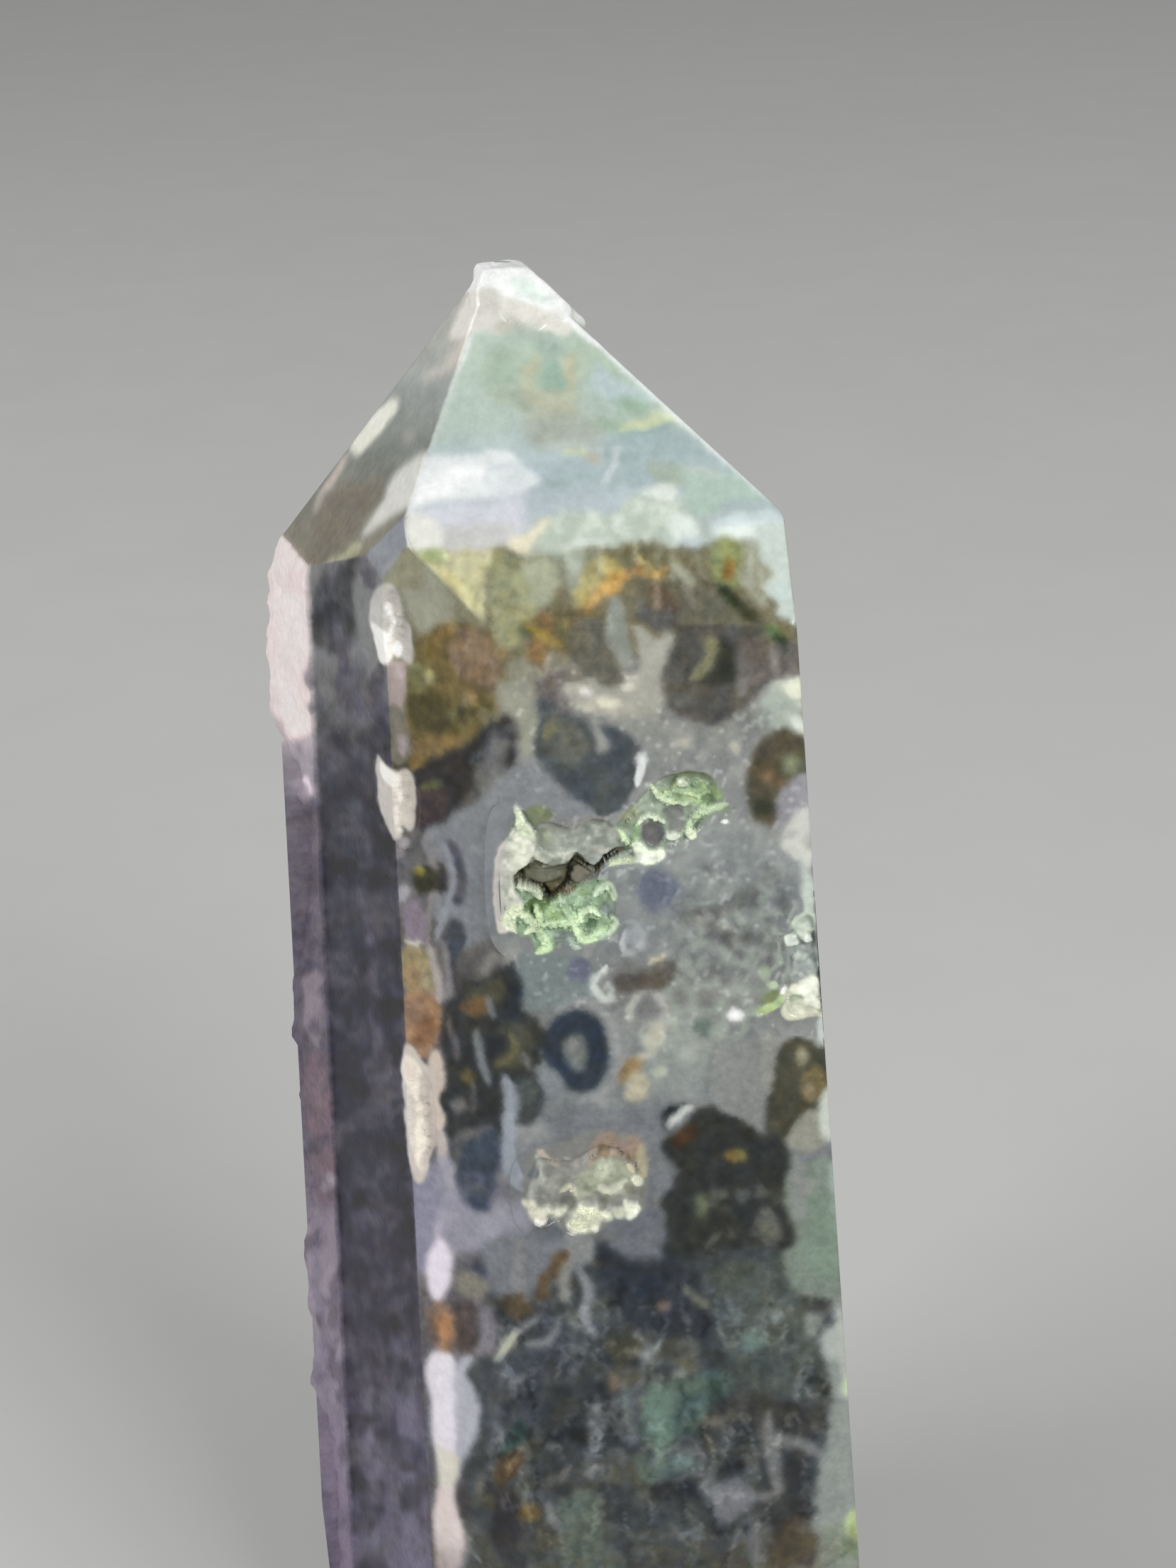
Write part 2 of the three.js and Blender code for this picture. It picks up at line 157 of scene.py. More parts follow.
FACE_JITTER = 0.16  # how far the points are off their rows, in spacings
STONE_SEED = 7
CORNER_WELD = 1e-3
SLIVER = 1e-5  # triangles smaller than this lie flat along an edge

# The stone's relief
ROUNDING_STEPS = 4  # how often the points are moved towards the rounded surface
HOLLOW_MARGIN = 0.05  # the hollows begin this far outside their outlines, below the crusts' rims
SUNK = 0.08  # what is sunk further than this is druzy
WALL_STEEPNESS = 0.8  # a hollow's wall leans further than this cosine
SKIN_LUMPS = ((0.75, 3, 0.07), (0.33, 4, 0.035))  # size, seed and height, as in all layers of noise
PIT_SUNK, PIT_SMOOTHED = 0.06, 0.03  # how far a point drops where a pit is druzy, and where it is evened out
# How far above its face a point starts, and how far down it looks for the solid
HOLLOW_FALL, SKIN_FALL, PIT_FALL = (0.6, 5), (1.5, 4), (1.2, 4)
PIT_ROUNDS, CAP_ROUNDS = 3, 2  # how often they are evened out
CAP_REACH = 12  # how far from its core the cap's surface is looked for
CAP_MATTE = (0.04, 0.16)  # where the cap is this far from the planes, it turns from polished to matte
CAP_BLEND, CAP_EVENED = 0.4, 0.6  # above the cap's lowest height
TIP_GRAIN, TIP_GRAIN_SIZE = 0.05, 0.4

# The camera of the photograph
PHOTO_WIDTH, PHOTO_HEIGHT = 1659, 2212
FOCAL_PIXELS = 3340
CAMERA_PLACE = np.array([2.673, -94.025, 98.723])
CAMERA_PITCH = 24.167
CAMERA_ROLL = 2.814
SENSOR = 36.0
FADE_FROM, FADE_TO = 2130, 2330  # photograph rows between which the marks give way to the wild pattern


def direction(azimuth, rise):
    """The unit vector that looks along an azimuth and rises by an angle above level."""
    turn, lift = math.radians(azimuth), math.radians(rise)
    return np.array([math.sin(turn) * math.cos(lift), -math.cos(turn) * math.cos(lift), math.sin(lift)])


def side_point(azimuth, distance, flare, height):
    reach = distance + (SHOULDER - height) * math.tan(math.radians(flare))
    turn = math.radians(azimuth)
    return np.array([math.sin(turn) * reach, -math.cos(turn) * reach, height])


def plane_through(normal, point):
    return normal, float(normal @ point)


def stone_planes():
    """Every face's outward normal and its distance from the origin, by name."""
    planes = {}
    for name, (azimuth, distance, flare) in SIDES.items():
        point = side_point(azimuth, distance, flare, SHOULDER)
        planes[name] = plane_through(direction(azimuth, flare), point)
    for name, (azimuth, rise) in POINT_FACETS.items():
        planes[name] = plane_through(direction(azimuth, rise), TIP)
    azimuth, distance, flare = SHOULDER_FACET
    planes["shoulder facet"] = plane_through(
        direction(azimuth, flare), side_point(azimuth, distance, flare, SHOULDER)
    )
    planes["base"] = plane_through(np.array([0.0, 0.0, -1.0]), np.zeros(3))
    for name, (azimuth, distance, flare) in SIDES.items():
        foot = side_point(azimuth, distance, flare, 0) - BASE_CHAMFER * direction(azimuth, 0)
        planes[name + " foot"] = plane_through(direction(azimuth, -45), foot)
    return planes


PLANES = stone_planes()


def face_axes(normal):
    """Across and up a face, as unit vectors that make a right-handed frame with its normal."""
    across = np.array([-normal[1], normal[0], 0.0])
    if np.linalg.norm(across) < 1e-6:
        across = np.array([1.0, 0.0, 0.0])
    across /= np.linalg.norm(across)
    return across, np.cross(normal, across)


def front_frame():
    """Across, up, out and origin of the front face, which the hollows are placed on."""
    normal = PLANES["front"][0]
    across, up = face_axes(normal)
    return across, up, normal, side_point(*SIDES["front"], 0)


def on_front(points):
    """Places across and up the front face, and out of it."""
    across, up, out, origin = front_frame()
    return (points - origin) @ np.stack([across, up, out], axis=1)


def from_front(places):
    across, up, out, origin = front_frame()
    return origin + places @ np.stack([across, up, out])


def meeting_line(first, second, height):
    """The point of the edge of two sides at a height."""
    (a, reach_a), (b, reach_b) = PLANES[first], PLANES[second]
    matrix = np.array([a[:2], b[:2]])
    level = np.linalg.solve(matrix, [reach_a - a[2] * height, reach_b - b[2] * height])
    return np.array([level[0], level[1], height])


# Smooth repeatable noise, from -1 to 1
HASH = (73856093, 19349663, 83492791)
SEED_STEP, SEED_START, MIXER = 2654435761, 97, 1274126177
CELL_STRIDE, CELL_SHIFT = 5.37, 0.38  # how the cells' middles are picked, and how far they are off their squares'


def noise(points, size, seed=0):
    place = points / size
    if points.shape[1] == 2:
        turn = 0.4 + seed * 0.7
        x, y = place.T
        place = np.stack([x * math.cos(turn) - y * math.sin(turn), x * math.sin(turn) + y * math.cos(turn)], axis=1)
    cell = np.floor(place).astype(np.int64)
    part = place - cell
    part = part * part * (3 - 2 * part)
    total = np.zeros(len(points))
    for corner in product((0, 1), repeat=points.shape[1]):
        weight = np.ones(len(points))
        mixed = np.full(len(points), seed * SEED_STEP + SEED_START, np.int64)
        for axis, step in enumerate(corner):
            weight = weight * (part[:, axis] if step else 1 - part[:, axis])
            mixed = mixed ^ ((cell[:, axis] + step) * HASH[axis])
        mixed = (mixed ^ (mixed >> 13)) * MIXER
        mixed = (mixed ^ (mixed >> 16)) & 0xFFFF
        total += weight * (mixed / 32767.5 - 1)
    return total


def layered(points, layers):
    """Noise of several sizes, seeds and heights, added up."""
    return sum(noise(points, size, seed) * height for size, seed, height in layers)


def cell_walls(points, size, seed=0):
    """How far each point is from the wall between its cell and the next, in cells; each cell has one middle."""
    place = points / size
    cell = np.floor(place)
    nearest = np.full((2, len(points)), np.inf)
    for step in product((-1, 0, 1), repeat=2):
        other = cell + step
        shift = np.stack([noise(other * CELL_STRIDE, 1, seed + axis) for axis in (0, 1)], axis=1)
        middle = other + 0.5 + CELL_SHIFT * shift
        gap = np.linalg.norm(place - middle, axis=1)
        nearest = np.sort(np.concatenate([nearest, gap[None]]), axis=0)[:2]
    return nearest[1] - nearest[0]


def smoothstep(low, high, value):
    part = np.clip((value - low) / (high - low), 0, 1)
    return part * part * (3 - 2 * part)


# Outlines and distances in a plane

def smooth_line(points, closed, steps=6):
    """A Catmull-Rom curve through points, as a polyline."""
    points = np.asarray(points, float)
    count = len(points)
    places = []
    for i in range(count if closed else count - 1):
        picks = [(i + k) % count if closed else min(max(i + k, 0), count - 1) for k in (-1, 0, 1, 2)]
        a, b, c, d = points[picks]
        for t in np.arange(steps) / steps:
            places.append(
                0.5 * (2 * b + (c - a) * t + (2 * a - 5 * b + 4 * c - d) * t**2 + (3 * b - a - 3 * c + d) * t**3)
            )
    if not closed:
        places.append(points[-1])
    return np.array(places)


def distance_to_line(points, line, closed):
    """Distance of each point from a polyline, and how far along it the nearest place is, from 0 to 1."""
    starts = line if closed else line[:-1]
    ends = np.roll(line, -1, axis=0) if closed else line[1:]
    best = np.full(len(points), np.inf)
    along = np.zeros(len(points))
    for i, (start, end) in enumerate(zip(starts, ends)):
        span = end - start
        part = np.clip(((points - start) @ span) / max(span @ span, 1e-12), 0, 1)
        gap = np.linalg.norm(points - start - part[:, None] * span, axis=1)
        nearer = gap < best
        best[nearer] = gap[nearer]
        along[nearer] = (i + part[nearer]) / len(starts)
    return best, along


def inside(points, line):
    """Whether each point is inside a closed polyline."""
    within = np.zeros(len(points), bool)
    before = line[-1]
    for place in line:
        if place[1] != before[1]:
            crosses = (place[1] > points[:, 1]) != (before[1] > points[:, 1])
            slope = (before[0] - place[0]) / (before[1] - place[1])
            within ^= crosses & (points[:, 0] < slope * (points[:, 1] - place[1]) + place[0])
        before = place
    return within


def outline_depth(points, line):
    """Distance from a closed polyline, positive inside it."""
    gap, _ = distance_to_line(points, line, True)
    return np.where(inside(points, line), gap, -gap)


# The stone's mesh

def cut_face(name):
    """A face's corners in order, each with the name of the face beyond the edge that starts there."""
    normal, reach = PLANES[name]
    across, up = face_axes(normal)
    middle = normal * reach
    corners = [
        (middle + BLOCK * (i * across + j * up), None) for i, j in ((-1, -1), (1, -1), (1, 1), (-1, 1))
    ]
    for other, (cutter, limit) in PLANES.items():
        if other == name:
            continue
        kept = []
        for (point, beyond), (following, _) in zip(corners, corners[1:] + corners[:1]):
            here, there = cutter @ point - limit, cutter @ following - limit
            crossing = point + (following - point) * (here / (here - there)) if here != there else point
            if here <= 0:
                kept.append((point, beyond))
                if there > 0:
                    kept.append((crossing, other))
            elif there <= 0:
                kept.append((crossing, beyond))
        corners = kept
        if len(corners) < 3:
            return []
    return [
        corner for corner, following in zip(corners, corners[1:] + corners[:1])
        if np.linalg.norm(corner[0] - following[0]) > CORNER_WELD
    ]


def pit_depth(points):
    """How far each point is inside the zone of a druzy pit, positive inside it."""
    depth = np.full(len(points), -np.inf)
    for low, high, reach in EDGE_PITS:
        foot = meeting_line("left face", "front bevel", low)
        head = meeting_line("left face", "front bevel", high)
        axis = (head - foot) / np.linalg.norm(head - foot)
        along = (points - foot) @ axis
        away = np.linalg.norm(points - foot - along[:, None] * axis, axis=1)
        ends = np.minimum(along + PIT_LONGER, np.linalg.norm(head - foot) + PIT_LONGER - along)
        depth = np.maximum(depth, np.minimum(reach + PIT_SHIFT + PIT_WIDER - away, ends))
    return depth


def hollow_depth(points, name, margin=HOLLOW_ZONE):
    """How far each point is inside a hollow's outline, moved out by a margin."""
    outline = smooth_line(HOLLOWS[name]["outline"], True)
    return outline_depth(on_front(points)[:, :2], outline) + margin


def local_spacing(name, points):
    """How far apart a face's points are to be at each place."""
    spacing = np.full(len(points), SPACING.get(name, HIDDEN_SPACING))
    if name in SPACING:
        spacing[points[:, 2] < LOW_HEIGHT] = LOW_SPACING
    spacing[points[:, 2] > CAP_LOWEST - CAP_MARGIN] = FINE_SPACING
    if name == "front":
        for hollow in HOLLOWS:
            spacing[hollow_depth(points, hollow) > 0] = FINE_SPACING
    if name in ("front bevel", "left face"):
        spacing[pit_depth(points) > 0] = FINE_SPACING
    return spacing


def edge_line(start, end, names):
    """Points between the ends of an edge, as close as the finer of its two faces asks for."""
    length = np.linalg.norm(end - start)
    trial = start + (end - start) * np.linspace(0, 1, max(int(length / EDGE_TRIAL), 2))[:, None]
    spacing = np.min([local_spacing(name, trial) for name in names], axis=0)
    passed = np.concatenate([[0], np.cumsum(0.5 * (1 / spacing[1:] + 1 / spacing[:-1]))])
    passed *= length / (len(trial) - 1)
    count = max(int(round(passed[-1])), 1)
    places = np.interp(np.arange(1, count) / count * passed[-1], passed, np.linspace(0, 1, len(trial)))
    return start + (end - start) * places[:, None]


class StoneSheet:
    """Gathers the points and triangles of the faces, with the points of shared edges used once."""

    def __init__(self):
        self.points = []
        self.faces = []
        self.owner = []
        self.corners = []
        self.edges = {}

    def add_points(self, points):
        first = sum(len(part) for part in self.points)
        self.points.append(np.asarray(points, float).reshape(-1, 3))
        return list(range(first, first + len(points)))

    def corner(self, point):
        for known, index in self.corners:
            if np.linalg.norm(known - point) < CORNER_WELD * 2:
                return index
        index = self.add_points([point])[0]
        self.corners.append((point, index))
        return index

    def edge(self, start, end, names):
        """The numbers of the points from the start of an edge up to its end, which is left out."""
        first, last = self.corner(start), self.corner(end)
        if (last, first) in self.edges:
            return [first] + self.edges[last, first][::-1]
        self.edges[first, last] = self.add_points(edge_line(start, end, names))
        return [first] + self.edges[first, last]

    def all_points(self):
        return np.concatenate(self.points)


def lattice(low, high, spacing, jitter, random):
    """Places in rows over a box, each a little off its row."""
    rows = np.arange(low[1], high[1], spacing * math.sqrt(0.75))
    columns = np.arange(low[0], high[0], spacing)
    x = columns[None, :] + (np.arange(len(rows)) % 2)[:, None] * spacing / 2
    places = np.stack([x, np.broadcast_to(rows[:, None], x.shape)], axis=-1).reshape(-1, 2)
    return places + (random.random(places.shape) - 0.5) * spacing * jitter


def triangles_between(places, rim):
    """Triangles between places, inside the rim that the first of them make, all turned the same way."""
    flat = [Vector(place) for place in places]
    _, _, triangles, origins, _, _ = delaunay_2d_cdt(flat, [], [list(range(rim))], 1, 1e-6, True)
    faces = []
    for triangle in triangles:
        picks = [origins[corner][0] for corner in triangle]
        a, b, c = (flat[pick] for pick in picks)
        area = (b - a).cross(c - a) / 2
        if abs(area) > SLIVER:
            faces.append(picks if area > 0 else picks[::-1])
    return faces


def face_lattice(name, corners, axes, random):
    """Points over a face, in its own two directions, clear of its edges."""
    flat = np.array([[corner @ axes[0], corner @ axes[1]] for corner, _ in corners])
    sides = np.roll(flat, -1, axis=0) - flat
    inward = np.stack([-sides[:, 1], sides[:, 0]], axis=1) / np.linalg.norm(sides, axis=1)[:, None]
    height = corners[0][0] @ PLANES[name][0]

    def depth(places):
        return np.min([(places - corner) @ normal for corner, normal in zip(flat, inward)], axis=0)

    def solid(places):
        return places @ np.stack(axes) + height * PLANES[name][0]

    spacings = {SPACING.get(name, HIDDEN_SPACING), FINE_SPACING}
    if name in SPACING:
        spacings.add(LOW_SPACING)
    chosen = []
    for spacing in sorted(spacings):
        places = lattice(flat.min(0), flat.max(0), spacing, FACE_JITTER, random)
        places = places[depth(places) > EDGE_ROW + ROW_CLEAR * spacing]
        if len(places):
            chosen.append(places[np.isclose(local_spacing(name, solid(places)), spacing)])
    return np.concatenate(chosen), depth


def fill_face(sheet, name, corners, random):
    """Divides one face into triangles."""
    normal, _ = PLANES[name]
    axes = face_axes(normal)
    ring = []
    rows = []
    for (start, beyond), (end, _) in zip(corners, corners[1:] + corners[:1]):
        numbers = sheet.edge(start, end, (name, beyond))
        ring += numbers
        along = (end - start) / np.linalg.norm(end - start)
        rows.append(sheet.all_points()[numbers[1:]] + np.cross(normal, along) * EDGE_ROW)
    spread, depth = face_lattice(name, corners, axes, random)
    edge_row = np.concatenate(rows) @ np.stack(axes, axis=1)
    edge_row = edge_row[depth(edge_row) > EDGE_ROW * ROW_KEPT]
    inner = np.concatenate([edge_row, spread])
    height = corners[0][0] @ normal
    numbers = ring + sheet.add_points(inner @ np.stack(axes) + height * normal)
    outer = sheet.all_points()[ring] @ np.stack(axes, axis=1)
    for picks in triangles_between(np.concatenate([outer, inner]), len(ring)):
        sheet.faces.append([numbers[pick] for pick in picks])
        sheet.owner.append(name)


def round_edges(points, softness):
    """Moves points onto the smooth surface that rounds every edge of the stone."""
    normals = np.array([normal for normal, _ in PLANES.values()])
    reaches = np.array([reach for _, reach in PLANES.values()])
    for _ in range(ROUNDING_STEPS):
        beyond = (points @ normals.T - reaches) / softness
        highest = beyond.max(axis=1, keepdims=True)
        weight = np.exp(beyond - highest)
        total = weight.sum(axis=1, keepdims=True)
        level = softness * (highest + np.log(total))
        slope = (weight / total) @ normals
        points = points - level * slope / (slope**2).sum(axis=1, keepdims=True)
    return points


def solid_tree(name):
    """The solid of a node, for casting rays at, in millimetres."""
    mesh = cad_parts[name].data
    points = [vertex.co / MM for vertex in mesh.vertices]
    return BVHTree.FromPolygons(points, [list(face.vertices) for face in mesh.polygons])


def dropped(tree, points, heading, above, reach):
    """Where each point lands on the solid when it comes down against a heading, from a little above itself."""
    landed = points.copy()
    down = Vector(-heading)
    for i, point in enumerate(points):
        place, _, _, _ = tree.ray_cast(Vector(point + heading * above), down, reach)
        if place is not None:
            landed[i] = place
    return landed


def relaxed(points, faces, chosen, rounds):
    """Evens out the chosen points between their neighbours."""
    faces = np.asarray(faces)
    pairs = np.concatenate([faces[:, [0, 1]], faces[:, [1, 2]], faces[:, [2, 0]]])
    pairs = np.concatenate([pairs, pairs[:, ::-1]])
    counts = np.bincount(pairs[:, 0], minlength=len(points))
    for _ in range(rounds):
        sums = np.stack(
            [np.bincount(pairs[:, 0], points[pairs[:, 1], axis], len(points)) for axis in range(3)], axis=1
        )
        points[chosen] = 0.5 * points[chosen] + 0.5 * (sums / np.maximum(counts, 1)[:, None])[chosen]
    return points


def add_relief(points, faces, on_face):
    """Gives the points the solid's hollows, pits, raw skin and rough tip, and says how matte each one is."""
    tree = solid_tree("tower")
    matte = np.zeros(len(points))
    front = PLANES["front"][0]
    for name in HOLLOWS:
        chosen = np.flatnonzero(on_face["front"] & (hollow_depth(points, name, HOLLOW_MARGIN) > 0))
        points[chosen] = dropped(tree, points[chosen], front, *HOLLOW_FALL)
        sunk = points[chosen] @ front < PLANES["front"][1] - SUNK
        matte[chosen[sunk]] = 1

    chosen = np.flatnonzero(on_face["raw side"])
    heading = PLANES["raw side"][0]
    lumps = layered(points[chosen], SKIN_LUMPS)
    points[chosen] = dropped(tree, points[chosen], heading, *SKIN_FALL)
    border = (on_face["left face"] | on_face["back left"] | on_face["raw side foot"])[chosen]
    points[chosen] += np.where(border, 0, lumps)[:, None] * heading
    matte[chosen] = 1
    matte[on_face["left face"]] = np.maximum(matte, SATIN)[on_face["left face"]]

    heading = direction(SIDES["left face"][0] * (1 - PIT_TURN) + SIDES["front bevel"][0] * PIT_TURN, 0)
    chosen = np.flatnonzero((on_face["left face"] | on_face["front bevel"]) & (pit_depth(points) > 0))
    landed = dropped(tree, points[chosen], heading, *PIT_FALL)
    went = np.linalg.norm(landed - points[chosen], axis=1)
    points[chosen] = landed
    matte[chosen[went > PIT_SUNK]] = 1
    points = relaxed(points, faces, chosen[went > PIT_SMOOTHED], PIT_ROUNDS)

    chosen = np.flatnonzero(points[:, 2] > CAP_LOWEST)
    for i in chosen:
        outward = points[i] - CAP_CORE
        outward /= np.linalg.norm(outward)
        place, _, _, _ = tree.ray_cast(Vector(CAP_CORE), Vector(outward), CAP_REACH)
        if place is not None:
            risen = np.linalg.norm(np.array(place) - CAP_CORE) - np.linalg.norm(points[i] - CAP_CORE)
            matte[i] = max(matte[i], smoothstep(*CAP_MATTE, abs(risen)))
            share = smoothstep(CAP_LOWEST, CAP_LOWEST + CAP_BLEND, points[i, 2])
            grain = noise(points[i : i + 1], TIP_GRAIN_SIZE, 8)[0] * TIP_GRAIN * matte[i]
            points[i] += outward * (risen * share + grain)
    evened = np.flatnonzero(points[:, 2] > CAP_LOWEST + CAP_EVENED)
    return relaxed(points, faces, evened, CAP_ROUNDS), matte


def hollow_walls(points, faces, on_face):
    """Which triangles are the steep walls of the front's hollows."""
    a, b, c = (points[faces[:, corner]] for corner in range(3))
    normals = np.cross(b - a, c - a)
    steep = normals @ PLANES["front"][0] < WALL_STEEPNESS * np.linalg.norm(normals, axis=1)
    near = on_face["front"] & (np.max([hollow_depth(points, name) for name in HOLLOWS], axis=0) > 0)
    return steep & near[faces].all(axis=1)


def kept_inside(points):
    """Keeps points within the box of the solids."""
    low, high = (np.array(corner) / MM for corner in CAD_BOX)
    return np.clip(points, low, high)


def stone_mesh(softness):
    """The stone's points, triangles, faces' names and matteness, and which points are on which face."""
    random = np.random.default_rng(STONE_SEED)
    sheet = StoneSheet()
    for name in PLANES:
        corners = cut_face(name)
        if len(corners) > 2:
            fill_face(sheet, name, corners, random)
    faces = np.array(sheet.faces)
    owner = np.array(sheet.owner)
    points = sheet.all_points()
    on_face = {name: np.zeros(len(points), bool) for name in PLANES}
    for name in PLANES:
        on_face[name][faces[owner == name].ravel()] = True
    points = round_edges(points, softness)
    points, matte = add_relief(points, faces, on_face)
    return kept_inside(points), faces, matte, on_face


# Marks of the stone, in pixels of the photograph. A mark has a value, which is a colour or how open a crust is,
# a soft border and an amount by which its outline is ragged. Its line is a row of places, each across,down.

def pairs(line):
    return np.reshape(line, (-1, 2))


def patch(value, line, soft=8, ragged=1.0, strength=1.0):
    """A filled closed outline."""
    return dict(kind="patch", value=value, line=pairs(line), soft=soft, ragged=ragged, strength=strength)


def stroke(value, width, line, soft=6, ragged=0.7, strength=1.0):
    """A line that is thinner at its ends."""
    return dict(kind="stroke", value=value, width=width, line=pairs(line), soft=soft, ragged=ragged,
                strength=strength)


def spot(value, centre, radii, soft=6, turn=0.0, ragged=0.7, strength=1.0):
    """A filled ellipse."""
    return dict(kind="spot", value=value, centre=centre, radii=radii, soft=soft, turn=turn, ragged=ragged,
                strength=strength)


def blotches(value, size, cover, line, seed, soft=20, strength=1.0):
    """Lumps of a size scattered over an outline, which cover a share of it."""
    return dict(kind="blotches", value=value, size=size, cover=cover, line=pairs(line), seed=seed, soft=soft,
                ragged=1.0, strength=strength)


def bubbles(value, size, line, seed, soft=30, strength=1.0):
    """The walls of round cells of a size, over an outline."""
    return dict(kind="bubbles", value=value, size=size, line=pairs(line), seed=seed, soft=soft, ragged=1.0,
                strength=strength)


# Ground colours by face: photograph row and the colour there
GROUNDS = {
    # The front facet's pale blue-grey ground is partly the stone's milky chalcedony and partly a painted reflection
    # of the bright sky above it.
    "front facet": (
        (420, (188, 203, 190)), (520, (178, 196, 178)), (600, (182, 197, 190)), (680, (172, 187, 194)),
        (760, (186, 196, 190)), (800, (150, 148, 118)), (880, (114, 106, 82)),
    ),
    "front": (
        (880, (112, 104, 80)), (940, (118, 112, 94)), (1000, (140, 138, 128)), (1060, (146, 145, 138)),
        (1180, (140, 141, 138)), (1300, (134, 136, 134)), (1400, (126, 124, 118)), (1500, (132, 136, 132)),
        (1600, (124, 124, 124)), (1700, (112, 112, 114)), (1790, (74, 73, 72)), (1900, (62, 62, 60)),
        (2212, (66, 66, 62)),
    ),
    "front bevel": (
        (790, (140, 140, 118)), (900, (122, 114, 88)), (1000, (98, 90, 66)), (1100, (78, 72, 62)),
        (1200, (100, 96, 92)), (1400, (96, 90, 84)), (1600, (96, 92, 94)), (1750, (140, 136, 144)),
        (1850, (92, 84, 80)), (2000, (84, 84, 90)), (2212, (92, 82, 78)),
    ),
    # The left face's dark ground is partly the stone's own purple-grey and partly painted shade, as the face is
    # turned away from the light.
    "left face": (
        (790, (128, 127, 124)), (900, (122, 120, 119)), (1060, (92, 90, 92)), (1200, (75, 73, 80)),
        (1500, (72, 69, 79)), (1900, (77, 69, 81)), (2212, (108, 96, 120)),
    ),
    "raw side": (
        (760, (224, 212, 206)), (860, (226, 208, 208)), (980, (226, 210, 206)), (1040, (182, 166, 172)),
        (1080, (138, 127, 136)), (1160, (112, 102, 112)), (1400, (106, 95, 106)), (1600, (112, 100, 112)),
        (1760, (148, 132, 144)), (1900, (142, 127, 141)), (2212, (112, 98, 122)),
    ),
    "left facet": ((440, (176, 174, 166)), (560, (150, 152, 146)), (660, (128, 128, 118)), (790, (132, 124, 108))),
    "shoulder facet": ((740, (150, 150, 154)), (820, (138, 137, 138))),
}

